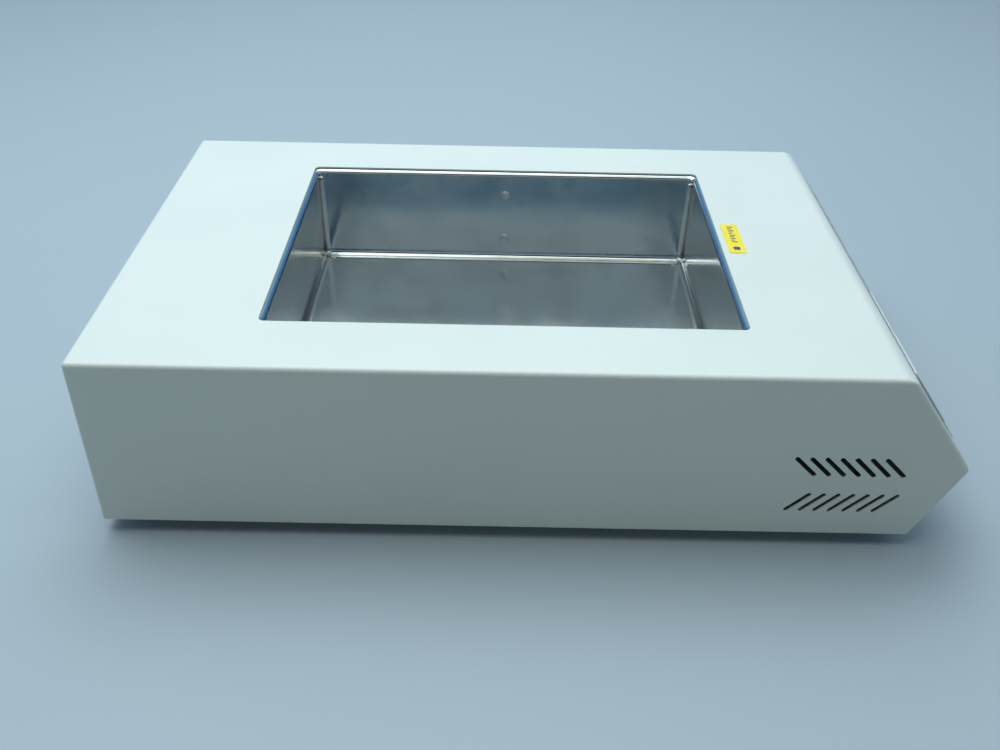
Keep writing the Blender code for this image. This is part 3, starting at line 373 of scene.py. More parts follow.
class Wire:
    """One output of a shader node. Sums on it add Math nodes to the same material."""

    def __init__(self, finish, socket):
        self.finish, self.socket = finish, socket

    def maths(self, operation, *values):
        return self.finish.node("Math", {"operation": operation}, dict(enumerate(values)))

    def __add__(self, other):
        return self.maths("ADD", self, other)

    def __radd__(self, other):
        return self.maths("ADD", other, self)

    def __sub__(self, other):
        return self.maths("SUBTRACT", self, other)

    def __rsub__(self, other):
        return self.maths("SUBTRACT", other, self)

    def __mul__(self, other):
        return self.maths("MULTIPLY", self, other)

    def __rmul__(self, other):
        return self.maths("MULTIPLY", other, self)

    def __lt__(self, other):
        return self.maths("LESS_THAN", self, other)

    def __abs__(self):
        return self.maths("ABSOLUTE", self)


class Finish:
    """A material while it is made: its nodes come from one method, and its shader is a Principled one."""

    def __init__(self, name, tree=None):
        if tree is None:
            self.material = bpy.data.materials.new(name)
            self.material.use_nodes = True
            tree = self.material.node_tree
        self.tree = tree
        self.tree.nodes.clear()

    def node(self, kind, settings=None, sockets=None, output=0):
        """Adds a node: its settings first, then the values or links of its sockets. Returns one output."""
        made = self.tree.nodes.new("ShaderNode" + kind)
        for name, value in (settings or {}).items():
            if name == "stops":
                self.set_stops(made.color_ramp, value)
            else:
                setattr(made, name, value)
        for name, value in (sockets or {}).items():
            socket = self.socket_of(made.inputs, name)
            if isinstance(value, Wire):
                self.tree.links.new(value.socket, socket)
            else:
                socket.default_value = value
        return Wire(self, self.socket_of(made.outputs, output)) if made.outputs else made

    @staticmethod
    def socket_of(sockets, name):
        if isinstance(name, int):
            return sockets[name]
        return next(socket for socket in sockets if name in (socket.identifier, socket.name))

    @staticmethod
    def set_stops(ramp, stops):
        for _ in range(len(stops) - 2):
            ramp.elements.new(0.5)
        for element, (place, colour) in zip(ramp.elements, stops):
            element.position = place
            element.color = (*colour, 1) if isinstance(colour, tuple) else (colour, colour, colour, 1)

    def place(self):
        """Where a point of the surface is on its own piece, in metres."""
        return self.node("TexCoord", output="Object")

    def noise(self, scale, detail, roughness=0.5, stretch=None):
        """Noise from 0 to 1, whose grains are about 1 / scale metres across."""
        vector = self.place()
        if stretch:
            vector = self.node("Mapping", {}, {"Vector": vector, "Scale": stretch})
        values = {"Vector": vector, "Scale": scale, "Detail": detail, "Roughness": roughness}
        return self.node("TexNoise", {}, values)

    def ramp(self, value, *stops):
        return self.node("ValToRGB", {"stops": stops}, {"Fac": value})

    def band(self, value, start, full, last, end):
        """1 from full to last, fading to 0 at start and at end."""
        return self.ramp(value, (start, 0.0), (full, 1.0), (last, 1.0), (end, 0.0))

    def mix(self, share, first, second):
        """A colour between two, by share."""
        sockets = {"Factor_Float": share, "A_Color": opaque(first), "B_Color": opaque(second)}
        return self.node("Mix", {"data_type": "RGBA"}, sockets, "Result_Color")

    def bump(self, height, depth, strength, below=None):
        """A bump whose height runs over depth metres, on top of another where it is given."""
        sockets = {"Strength": strength, "Distance": depth, "Height": height}
        if below:
            sockets["Normal"] = below
        return self.node("Bump", {}, sockets)

    def shade(self, **sockets):
        """Ends the material with a Principled shader, whose sockets are named with underlines for spaces."""
        named = {name.replace("_", " "): opaque(value) for name, value in sockets.items()}
        shader = self.node("BsdfPrincipled", {}, named)
        self.node("OutputMaterial", {}, {"Surface": shader})
        return self.material


def opaque(value):
    """A colour of three parts with its fourth, and anything else as it is."""
    if not isinstance(value, Wire) and hasattr(value, "__len__") and len(value) == 3:
        return (*value, 1.0)
    return value


def scaled(colour, share):
    """A colour made darker or paler."""
    return tuple(share * part for part in colour)


# ---------------------------------------------------------------------------- finishes

def powder_coat(colour, gloss):
    """Baked powder paint: a fine orange peel, and a faint drift of tone and gloss."""
    made = Finish("powder_coat")
    peel, drift, specks = made.noise(620, 2), made.noise(9, 3), made.noise(2600, 1)
    tone = made.mix(made.ramp(drift, (0.35, 0.0), (0.65, 1.0)), scaled(colour, 0.975), colour)
    tone = made.mix(made.ramp(specks, (0.66, 0.0), (0.74, 0.10)), tone, scaled(colour, 0.55))
    rough = (0.44 + 0.10 * drift) + 0.06 * peel
    normal = made.bump(peel, 0.00006, 0.55, made.bump(made.noise(45, 2), 0.0004, 0.10))
    return made.shade(
        Base_Color=tone, Roughness=rough - gloss, Normal=normal, Coat_Weight=0.12, Coat_Roughness=0.35
    )


def printed_film(colour, ink):
    """A fine matt film with a thin line printed round it, inside its edge."""
    made = Finish("printed_film")
    grain, drift = made.noise(1600, 2), made.noise(30, 3)
    across, up = (abs(made.node("SeparateXYZ", {}, {"Vector": made.place()}, axis)) for axis in "XY")
    inside = [side / 2 - 0.0035 for side in FILM_SIZE]
    line = abs(across.maths("MAXIMUM", across - inside[0], up - inside[1])) < 0.0003
    tone = made.mix(drift, scaled(colour, 0.97), colour)
    tone = made.mix(line, tone, ink)
    return made.shade(Base_Color=tone, Roughness=0.42 + 0.14 * grain, Normal=made.bump(grain, 0.00003, 0.5))


def sticker(colour):
    """Coated paper: a little mottled, and paler where it is rubbed."""
    made = Finish("sticker")
    fibre, rub = made.noise(1400, 4), made.noise(170, 4)
    rubbed = tuple(0.5 * part + 0.45 for part in colour)
    tone = made.mix(made.ramp(rub, (0.5, 0.0), (0.8, 0.5)), colour, rubbed)
    tone = made.mix(fibre * 0.15, tone, scaled(colour, 0.8))
    return made.shade(Base_Color=tone, Roughness=0.36 + 0.15 * fibre, Normal=made.bump(fibre, 0.00003, 0.4))


def glass_wool():
    """Straw-coloured glass fibre, laid flat."""
    made = Finish("glass_wool")
    fibres = made.noise(900, 6, 0.75, stretch=(1.0, 1.0, 0.3))
    tone = made.mix(fibres, (0.45, 0.34, 0.12), (0.88, 0.78, 0.45))
    return made.shade(Base_Color=tone, Roughness=0.85 + 0.15 * fibres, Normal=made.bump(fibres, 0.0012, 1.0))


def circuit_board():
    """Green solder resist over a glass weave, with gold pads and tracks."""
    made = Finish("circuit_board")
    weave = made.node("TexChecker", {}, {"Vector": made.place(), "Scale": 1800.0}, "Fac")
    cells = {"Vector": made.place(), "Scale": 240.0, "Randomness": 0.35}
    pads = made.node("TexVoronoi", {}, cells, "Distance") < 0.16
    tracks = made.node("TexVoronoi", {"feature": "DISTANCE_TO_EDGE"}, cells, "Distance") < 0.05
    tone = made.mix(weave * 0.15, (0.015, 0.15, 0.06), (0.03, 0.22, 0.09))
    tone = made.mix(tracks * 0.5, tone, (0.04, 0.28, 0.10))
    tone = made.mix(pads, tone, (0.75, 0.62, 0.35))
    rough, metal = 0.42 - 0.12 * pads, pads * 0.8
    normal = made.bump(tracks, 0.00005, 0.5)
    return made.shade(Base_Color=tone, Roughness=rough, Metallic=metal, Normal=normal)


def stainless(colour, roughness):
    """Mill-finished stainless sheet: satin, faintly streaked along the rolling, with cloudy water marks."""
    made = Finish("mill_stainless")
    streaks = made.noise(900, 2, 0.5, stretch=(0.02, 1.0, 1.0))
    cloud, smear = made.noise(19, 4, 0.55), made.noise(48, 3, 0.55, stretch=(1.0, 0.5, 1.0))
    marks = made.ramp(cloud, (0.46, 0.0), (0.66, 1.0))
    wiped = made.ramp(smear, (0.52, 0.0), (0.70, 1.0))
    tone = made.mix(marks * 0.35, colour, scaled(colour, 1.12))
    tone = made.mix(wiped * 0.2, tone, scaled(colour, 0.90))
    rough = ((roughness + 0.06 * marks) + 0.03 * wiped) + 0.02 * streaks
    buckle = made.bump(made.noise(9, 1), 0.0008, 0.08)
    normal = made.bump(streaks, 0.000005, 0.05, buckle)
    return made.shade(Base_Color=tone, Roughness=rough, Metallic=1.0, Normal=normal)


def weld_metal(colour):
    """Brushed-off weld: matt, a little paler than the sheet, with fine ripples."""
    made = Finish("weld_metal")
    ripple, tint = made.noise(1500, 2), made.noise(210, 3)
    tone = made.mix(made.ramp(tint, (0.4, 0.0), (0.7, 1.0)), scaled(colour, 1.12), scaled(colour, 0.90))
    rough = 0.30 + 0.15 * ripple
    return made.shade(Base_Color=tone, Roughness=rough, Metallic=1.0, Normal=made.bump(ripple, 0.0001, 0.3))


def satin_silver():
    """Silver paint on plastic trim: satin, with fine flake along one way."""
    made = Finish("satin_silver")
    brush = made.noise(2200, 2, stretch=(0.03, 1.0, 1.0))
    tone = made.mix(brush, (0.60, 0.64, 0.63), (0.70, 0.74, 0.73))
    rough = 0.32 + 0.14 * brush
    return made.shade(Base_Color=tone, Roughness=rough, Metallic=0.2, Normal=made.bump(brush, 0.00001, 0.4))


def drawn_copper():
    """Drawn copper, dulled in patches."""
    made = Finish("drawn_copper")
    draw, dull = made.noise(700, 2), made.noise(120, 4)
    tone = made.mix(made.ramp(dull, (0.35, 0.0), (0.7, 1.0)), (0.76, 0.38, 0.22), (0.45, 0.20, 0.10))
    rough = 0.25 + 0.2 * dull
    return made.shade(Base_Color=tone, Roughness=rough, Metallic=1.0, Normal=made.bump(draw, 0.00002, 0.4))


def tinted_window(colour):
    """Tinted acrylic that the figures show through, with faint rubbing marks."""
    made = Finish("tinted_acrylic")
    rub, grain = made.noise(90, 4), made.noise(1500, 2)
    tone = made.mix(rub, colour, scaled(colour, 1.3))
    rough = 0.07 + 0.09 * made.ramp(rub, (0.45, 0.0), (0.8, 1.0))
    normal = made.bump(grain, 0.00001, 0.1)
    return made.shade(
        Base_Color=tone, Roughness=rough, Normal=normal, Alpha=0.55, Coat_Weight=0.6, Coat_Roughness=0.05
    )


def zinc_plate():
    """Zinc plate: a faint bloom of grey and straw over fine grain."""
    made = Finish("zinc_plate")
    grain, bloom = made.noise(1900, 2), made.noise(260, 4)
    tone = made.mix(made.ramp(bloom, (0.4, 0.0), (0.7, 1.0)), (0.50, 0.52, 0.54), (0.62, 0.60, 0.53))
    rough = 0.30 + 0.22 * bloom
    return made.shade(Base_Color=tone, Roughness=rough, Metallic=1.0, Normal=made.bump(grain, 0.00004, 0.5))


def moulded(name, colour, roughness, grain=900, depth=0.00006, **more):
    """Moulded plastic or rubber: a fine spark-eroded grain, and wear that pales and shines it a little."""
    made = Finish(name)
    skin, wear = made.noise(grain, 3), made.noise(60, 4)
    worn = made.ramp(wear, (0.45, 0.0), (0.75, 1.0))
    tone = made.mix(worn * 0.35, colour, tuple(part * 1.25 + 0.012 for part in colour))
    rough = (roughness + 0.08 * skin) - 0.10 * worn
    return made.shade(Base_Color=tone, Roughness=rough, Normal=made.bump(skin, depth, 0.6), **more)


# ---------------------------------------------------------------------------- settings

def length_setting(name, description, default):
    return FloatProperty(
        name=name, description=description, default=default, min=0, unit="LENGTH", precision=5
    )


def colour_setting(name, description, default):
    return FloatVectorProperty(
        name=name, description=description, default=default, min=0, max=1, size=3, subtype="COLOR"
    )


def share_setting(name, description, default):
    return FloatProperty(
        name=name, description=description, default=default, min=0, max=1, subtype="FACTOR"
    )


def power_setting(name, description, default):
    return FloatProperty(name=name, description=description, default=default, min=0, unit="POWER")


def group_setting(kind, name, description):
    return PointerProperty(type=kind, name=name, description=description)


class BathCaseSettings(bpy.types.PropertyGroup):
    """The painted case."""

    edge_bend: length_setting(
        "Edge bend", "Outside radius where the sides meet the deck, slope and rear", 0.003
    )
    brow_bend: length_setting("Brow bend", "Outside radius between the deck and the slope", 0.006)
    hem_bend: length_setting("Hem bend", "Outside radius along the lower edges", 0.0013)
    opening_corner: length_setting("Opening corner", "Radius of the opening's corners", 0.004)
    cut_edge: length_setting("Cut edge", "How far paint rounds the cut edges of the sheet", 0.0004)
    colour: colour_setting("Paint", "Colour of the powder coat", (0.70, 0.72, 0.66))
    gloss: share_setting("Gloss", "How much smoother than a plain satin the paint is", 0.03)


class BathTankSettings(bpy.types.PropertyGroup):
    """The stainless tank."""

    rim_bend: length_setting("Rim bend", "Outside radius of the rolled rim", 0.004)
    floor_bend: length_setting("Floor bend", "Inside radius between the walls and the floor", 0.0048)
    corner: length_setting("Corner", "Inside radius between the walls", 0.004)
    weld_mark: length_setting("Weld mark", "Radius of the two marks on the far wall", 0.0034)
    colour: colour_setting("Steel", "Colour of the stainless steel", (0.57, 0.59, 0.58))
    roughness: share_setting("Roughness", "Roughness of the cleanest steel", 0.13)


class BathControlsSettings(bpy.types.PropertyGroup):
    """The control face and the label on the deck."""

    film: colour_setting("Film", "Colour of the film on the slope", (0.42, 0.45, 0.44))
    ink: colour_setting("Ink", "Colour of what is printed on the film and keys", (0.05, 0.07, 0.09))
    keys: colour_setting("Keys", "Colour of the keys", (0.60, 0.62, 0.62))
    window: colour_setting("Window", "Tint of the display's window", (0.10, 0.010, 0.012))
    label: colour_setting("Label", "Colour of the label on the deck", (0.93, 0.72, 0.012))


class BathFittingsSettings(bpy.types.PropertyGroup):
    """The fittings behind and below."""

    plastic: colour_setting("Plastic", "Colour of the inlet and the switch", (0.022, 0.022, 0.023))
    rubber: colour_setting("Rubber", "Colour of the feet", (0.018, 0.018, 0.018))
    reset: colour_setting("Reset", "Colour of the cut-out's button", (0.60, 0.03, 0.02))
    recess: length_setting("Screw recess", "How deep the cross in each screw head is", 0.0011)


class BathStageSettings(bpy.types.PropertyGroup):
    """The floor, lights and camera."""

    floor_colour: colour_setting("Floor", "Colour of the floor", (0.38, 0.44, 0.48))
    overhead: power_setting("Overhead light", "Power of the light above the bath", 30.5)
    front: power_setting("Front light", "Power of the narrow light in front of the bath", 3.5)
    lens: FloatProperty(
        name="Lens", description="Focal length of the camera", default=36.755, min=1, unit="CAMERA"
    )


class WaterBathSettings(bpy.types.PropertyGroup):
    """Everything a user would change."""

    case: group_setting(BathCaseSettings, "Case", "The painted case")
    tank: group_setting(BathTankSettings, "Tank", "The stainless tank")
    controls: group_setting(BathControlsSettings, "Controls", "The control face and the label")
    fittings: group_setting(BathFittingsSettings, "Fittings", "The fittings behind and below")
    stage: group_setting(BathStageSettings, "Stage", "The floor, lights and camera")


# ---------------------------------------------------------------------------- case

def folded_block(name, outline, half_width, side_bends, corner_bends, segments=8):
    """A side outline drawn out across the bath, with its own bend radius on every edge."""
    shape = bmesh.new()
    rows = [[shape.verts.new((x, y, z)) for x, z in outline] for y in (-half_width, half_width)]
    shape.faces.new(rows[0])
    shape.faces.new(rows[1])
    widest = max(*side_bends, *corner_bends)
    weight = shape.edges.layers.float.new("bevel_weight_edge")
    for i in range(len(outline)):
        j = (i + 1) % len(outline)
        shape.faces.new((rows[0][i], rows[0][j], rows[1][j], rows[1][i]))
        for row in rows:
            shape.edges.get((row[i], row[j]))[weight] = side_bends[i] / widest
        shape.edges.get((rows[0][i], rows[1][i]))[weight] = corner_bends[i] / widest
    made = new_object(name, shape)
    bevel = made.modifiers.new("bends", "BEVEL")
    bevel.limit_method = "WEIGHT"
    bevel.width = widest
    bevel.segments = segments
    settle(made)
    return made


def control_holes(size):
    """Outlines of what is cut for the controls, with a hole of that size for the window or its frame."""
    key = rounded_rectangle(KEY_SIDE + 0.001, KEY_SIDE + 0.001, 0.0015)
    holes = [moved(rounded_rectangle(*size, 0.001), *WINDOW_PLACE)]
    holes += [moved(key, x, 0) for x in KEY_PLACES.values()]
    return holes + [moved(circle(LAMP_RADIUS + GAP), *place) for place in LAMP_PLACES.values()]


def face_cutters():
    """What cuts the slope for the controls, and the rear wall for its fittings."""
    cutters = []
    front = control_holes([side - 0.004 for side in WINDOW_SIZE])
    rear = [
        moved(rounded_rectangle(*(side + 2 * GAP for side in SWITCH_NECK), 0.001), -SWITCH_SIDE, 0),
        moved(circle(LIMITER_HOLE), -LIMITER_SIDE, 0),
        moved(rounded_rectangle(*(side + 2 * GAP for side in INLET_BACK), 0.001), -INLET_SIDE, 0),
    ]
    for name, outlines, face in (("front", front, CONTROL_FACE), ("rear", rear, REAR_FACE)):
        made = solids(name, [[level(o, -3 * SHEET), level(o, 2 * SHEET)] for o in outlines])
        made.matrix_world = face
        cutters.append(made)
    return cutters


def case_shell(settings):
    """The folded case, hollow, with its opening, vents and the holes of its fittings."""
    edge, brow, hem = settings.edge_bend, settings.brow_bend, settings.hem_bend
    case = folded_block("case", SIDE_OUTLINE, HALF_WIDTH, (edge, edge, edge, 0, hem), (hem, edge, brow, 0, 0))
    inner = inset_outline(SIDE_OUTLINE, (SHEET, SHEET, SHEET, -3 * SHEET, SHEET))
    below = STAND_Z - SHEET
    inner = [*inner[:4], (inner[4][0] + SHEET, below), (HEM_STOP_X, below), (HEM_STOP_X, inner[0][1])]
    inside = edge - SHEET
    sides, corners = (inside, inside, inside, 0, 0, 0, 0), (0, inside, brow - SHEET, 0, 0, 0, 0)
    hollow = folded_block("hollow", inner, HALF_WIDTH - SHEET, sides, corners, 4)
    reach = HALF_WIDTH - HEM_WIDTH
    hem_gap = [(REAR_X + HEM_WIDTH, -reach), (HEM_STOP_X + SHEET, -reach), (HEM_STOP_X + SHEET, reach)]
    hem_gap = plate("hem_gap", [*hem_gap, (REAR_X + HEM_WIDTH, reach)], below, STAND_Z + 2 * SHEET)
    opening = moved(rounded_rectangle(OPENING_LENGTH, OPENING_WIDTH, settings.opening_corner, 10), TANK_X, 0)
    slots = []
    for height, degrees in VENT_ROWS:
        for i in range(VENT_COUNT):
            slot = moved(slot_outline(VENT_LENGTH, VENT_WIDTH, degrees), VENT_X + i * VENT_PITCH, height)
            slots.append([upright(slot, side * (HALF_WIDTH + SHEET)) for side in (-1, 1)])
    combine(
        case,
        "DIFFERENCE",
        hollow,
        hem_gap,
        plate("opening", opening, DECK_Z - 3 * SHEET, DECK_Z + SHEET),
        solids("vents", slots),
        *face_cutters(),
    )
    soften(case, settings.cut_edge, 2, 60)
    studs = [moved(circle(STUD_RADIUS, 32), *place) for place in FLANGE_STUDS]
    heights = (DECK_Z - SHEET / 2, DECK_Z - SHEET - 0.008)
    combine(case, "UNION", solids("deck_studs", [[level(stud, z) for z in heights] for stud in studs]))
    return case


# ---------------------------------------------------------------------------- tank

def tank_ring(out, z, corner, steps=8):
    """A ring of the tank at a distance out from its inner wall."""
    radius = max(corner + out, 0.0005)
    outline = rounded_rectangle(TANK_LENGTH + 2 * out, TANK_WIDTH + 2 * out, radius, steps)
    return level(moved(outline, TANK_X, 0), z)


def tank_shell(settings):
    """The tub: floor, walls and rolled rim from inside, then the same sheet from below."""
    foot, over, corner = settings.floor_bend, settings.rim_bend, settings.corner
    foot_z, top_z = FLOOR_Z + foot, RIM_Z - over
    outside, under = foot + TANK_SHEET, over - TANK_SHEET
    turns = quarter_turn(8)
    profile = [(-foot + foot * math.sin(a), foot_z - foot * math.cos(a)) for a in turns]
    profile += [(over - over * math.cos(a), top_z + over * math.sin(a)) for a in turns]
    profile += [(TANK_FLANGE, RIM_Z), (TANK_FLANGE, RIM_Z - TANK_SHEET)]
    profile += [(over - under * math.cos(a), top_z + under * math.sin(a)) for a in reversed(turns)]
    profile += [(-foot + outside * math.sin(a), foot_z - outside * math.cos(a)) for a in reversed(turns)]
    return solid("tank_tub", [tank_ring(out, z, corner) for out, z in profile])


def blob(radius, height, x, y, z):
    """Rings of a low round bead at z, which goes as far down as it stands up."""
    rings = [level(moved(circle(radius, 20), x, y), z - height)]
    for a in quarter_turn(6)[:-1]:
        rings.append(level(moved(circle(radius * math.cos(a), 20), x, y), z + height * math.sin(a)))
    return rings


def tank_welds(settings):
    """What is welded on: the two stud marks on the far wall, their studs, and beads in the corners."""
    wall, radius = TANK_WIDTH / 2, settings.weld_mark
    profile = [(1.0, -0.0004), (1.0, 0.00005), (0.94, 0.00035), (0.85, 0.00045)]
    profile += [(0.74, 0.0003), (0.66, 0.0001), (0.40, 0.00006), (0.10, 0.00005)]
    marks, studs = [], []
    for height in STUD_HEIGHTS:
        rings = [(moved(circle(radius * share), TANK_X, height), wall - rise) for share, rise in profile]
        marks.append([upright(ring, y) for ring, y in rings])
        stud = moved(circle(STUD_RADIUS, 24), TANK_X, height)
        studs.append([upright(stud, wall + TANK_SHEET / 2), upright(stud, wall + TANK_SHEET + 0.013)])
    beads = []
    for sx in (-1, 1):
        for sy in (-1, 1):
            x, y = TANK_X + sx * (TANK_LENGTH / 2), sy * TANK_WIDTH / 2
            beads.append(blob(0.0022, 0.0012, x - sx * 0.0022, y - sy * 0.0022, FLOOR_Z + 0.0014))
            beads.append(blob(0.0016, 0.00025, x - sx * 0.0075, y - sy * 0.0085, FLOOR_Z))
            beads.append(blob(0.0013, 0.0013, x - sx * 0.0016, y - sy * 0.0016, RIM_Z - 0.0062))
    return solids("stud_marks", marks), solids("wall_studs", studs), solids("beads", beads)


# ---------------------------------------------------------------------------- controls

def film():
    """The printed film on the slope, cut for the frame, the keys and the lamps."""
    outline = rounded_rectangle(*FILM_SIZE, FILM_CORNER, 10)
    made = plate("control_film", outline, FILM_BACK, FILM_FRONT, 0.0001)
    holes = control_holes([side + 2 * GAP for side in FRAME_SIZE])
    combine(made, "DIFFERENCE", solids("film_holes", [[level(o, -SHEET), level(o, SHEET)] for o in holes]))
    return made


def window_frame():
    """The silver frame round the window, rounded along both of its front edges."""
    sizes = [(0, FILM_BACK), *rounding(0.0003, FILM_FRONT + FRAME_RISE, 4)]
    rings = [(*(side - 2 * inset for side in FRAME_SIZE), 0.003 - inset, z) for inset, z in sizes]
    inner = [side + 2 * GAP for side in WINDOW_SIZE]
    rings += [(*(side + 2 * inset for side in inner), 0.0015 + inset, z) for inset, z in reversed(sizes)]
    return solid(
        "window_frame",
        [level(moved(rounded_rectangle(*size, 8), *WINDOW_PLACE), z) for *size, z in rings],
        closed=True,
    )


def segment_bars():
    """Three figures of seven bars each, with a point before the last, behind the window."""
    width, height, half = 0.0090, 0.0150, 0.0008
    bars = []
    for figure in range(3):
        x, y = WINDOW_PLACE[0] + (figure - 1) * FIGURE_PITCH, WINDOW_PLACE[1]
        places = [(0, k * height / 2, 0) for k in (-1, 0, 1)]
        places += [(i * width / 2, j * height / 4, 90) for i in (-1, 1) for j in (-1, 1)]
        for bx, by, degrees in places:
            reach = (width if degrees == 0 else height / 2) / 2 - 0.0006
            flat = reach - half
            bar = [(-reach, 0), (-flat, -half), (flat, -half), (reach, 0), (flat, half), (-flat, half)]
            turn = Matrix.Rotation(math.radians(degrees), 2)
            bars.append(moved([tuple(turn @ Vector(p)) for p in bar], x + bx, y + by))
    point = (WINDOW_PLACE[0] + FIGURE_PITCH / 2, WINDOW_PLACE[1] - height / 2)
    bars.append(moved(circle(0.0009, 20), *point))
    front = -SHEET - 0.5 * GAP
    return solids("display_segments", [[level(bar, front - 0.0001), level(bar, front)] for bar in bars])


def key_cap(name):
    """A square key with a rounded edge and a shallow dish, on the flange that keeps it in."""
    back, edge, dish, flange_side, flange = -SHEET - GAP, 0.0006, 0.0003, KEY_SIDE + 0.003, 0.0012
    rings = [(flange_side, KEY_CORNER, back - flange), (flange_side, KEY_CORNER, back)]
    rings.append((KEY_SIDE, KEY_CORNER, back))
    for inset, z in rounding(edge, KEY_FRONT, 4):
        rings.append((KEY_SIDE - 2 * inset, KEY_CORNER - inset / 2, z))
    for share in (0.8, 0.6, 0.4, 0.2, 0.05):
        side = (KEY_SIDE - 2 * edge) * share
        rings.append((side, side / 2 - side * 0.4 * share, KEY_FRONT - dish * (1 - share**2)))
    return solid(name, [level(rounded_rectangle(side, side, corner, 6), z) for side, corner, z in rings])


def key_marks():
    """The outlines of what is printed on each key: standby, set, down and up."""
    up = [(-0.0030, -0.0020), (0.0030, -0.0020), (0, 0.0028)]
    ring = arc(0.0032, 125, 415, 28) + arc(0.0025, 415, 125, 28)
    bar = [(-0.00035, 0.0008), (0.00035, 0.0008), (0.00035, 0.0038), (-0.00035, 0.0038)]
    square = [(0.0030, 0), (0, 0.0030), (-0.0030, 0), (0, -0.0030)]
    down = [(-x, -y) for x, y in up]
    return {"key_standby": [ring, bar], "key_set": [square], "key_down": [down], "key_up": [up]}


class BATH_OT_controls(bpy.types.Operator):
    """Build the control face: film, display, lamps and keys"""

    bl_idname = "bath.controls"
    bl_label = "Controls"

    def execute(self, context):
        settings = context.scene.water_bath.controls
        ink = moulded("printing_ink", settings.ink, 0.5)
        slope = {"at": CONTROL_FACE}
        fit(film(), printed_film(settings.film, settings.ink), "grey_fascia", "fascia", **slope)
        fit(window_frame(), satin_silver(), "silver_trim", "display_frame", **slope)
        outline = moved(rounded_rectangle(*WINDOW_SIZE, 0.0012, 8), *WINDOW_PLACE)
        window = plate("tinted_window", outline, FILM_BACK, FILM_FRONT + 0.0002, 0.0001)
        fit(window, tinted_window(settings.window), "red_window", "display_window", **slope)
        unlit = moulded("unlit_bars", (0.75, 0.30, 0.26), 0.35)
        fit(segment_bars(), unlit, "red_window", body="housing", **slope)
        self.lamps()
        self.keys(settings, ink)
        self.label(settings, ink)
        return {"FINISHED"}

    def lamps(self):
        lens = moulded("amber_lens", (0.80, 0.33, 0.03), 0.22, 700, 0.00002, Coat_Weight=0.5)
        for node, place in LAMP_PLACES.items():
            profile = [(LAMP_RADIUS, -SHEET - 0.006), *dome(LAMP_RADIUS, 0.0004, LAMP_FRONT)]
            profile.append((0.0001, LAMP_FRONT))
            fit(turned(node + "_lens", profile, place), lens, "amber_lens", node, at=CONTROL_FACE)

    def keys(self, settings, ink):
        cap = moulded("key_plastic", settings.keys, 0.5, 1300)
        marks = key_marks()
        for node, across in KEY_PLACES.items():
            axis = CONTROL_FACE @ Matrix.Translation((across, 0, 0))
            key = fit(key_cap(node + "_cap"), cap, "key_grey", node, at=axis)
            rings = [[level(o, KEY_FRONT - 0.0004), level(o, KEY_FRONT)] for o in marks[node]]
            mark = solids(node + "_mark", rings)
            fit(mark, ink, "key_grey", at=axis, parent=key)

    def label(self, settings, ink):
        """A plain yellow sticker, printed with a square and a row of strokes that say nothing."""
        low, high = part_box("deck_label")
        middle, length, width = (low + high) / 2, high.x - low.x, high.y - low.y
        outline = moved(rounded_rectangle(length, width, 0.0010, 6), middle.x, middle.y)
        base = plate("yellow_label", outline, DECK_Z + 0.00005, high.z - 0.0001, 0.00008)
        base = fit(base, sticker(settings.label), "label_yellow", "deck_label")
        reaches = (1.0, 0.7, 1.0, 0.85, 0.5, 1.0, 0.75, 0.9, 0.6, 1.0)
        strokes = []
        for i, reach in enumerate(reaches):
            y = middle.y + 0.0170 - i * 0.0025
            stroke = rounded_rectangle(0.0042 * reach, 0.0011, 0.0002, 2)
            strokes.append(moved(stroke, middle.x + 0.0004 - 0.0021 * (1 - reach), y))
        square = rounded_rectangle(0.0046, 0.0046, 0.0006, 4)
        strokes.append(moved(square, middle.x + 0.0002, middle.y - 0.0150))
        top = high.z
        made = solids("label_print", [[level(o, top - 0.00012), level(o, top - 0.00004)] for o in strokes])
        fit(made, ink, "label_yellow", parent=base)


# ---------------------------------------------------------------------------- rear and lower fittings

def screw(name, profile, place, depth):
    """A screw from (radius, height) points that end at its head's middle, with a cross cut in its head."""
    made = turned(name, profile, place, 40)
    reach, top = profile[-2][0], profile[-1][1]
    inward = 1 if profile[0][1] > top else -1
    rings = [(reach, 0.20 * reach, top - inward * CUTTER_RISE), (reach, 0.20 * reach, top)]
    rings.append((0.55 * reach, 0.14 * reach, top + inward * depth))
    cutter = [level(moved(cross_outline(r, half), *place), z) for r, half, z in rings]
    combine(made, "DIFFERENCE", solid("recess", cutter))
    return made


def pan_head(shank, head, height, seat, tip):
    """The profile of a pan-head screw that is driven upwards."""
    stem = [(0.7 * shank, tip), (shank, tip - 0.7 * shank), (shank, seat)]
    crown = [(head * math.cos(a), seat - height * (0.45 + 0.55 * math.sin(a))) for a in quarter_turn(6)[:-2]]
    return [*stem, (head, seat), *crown, (0.3 * head, seat - height)]


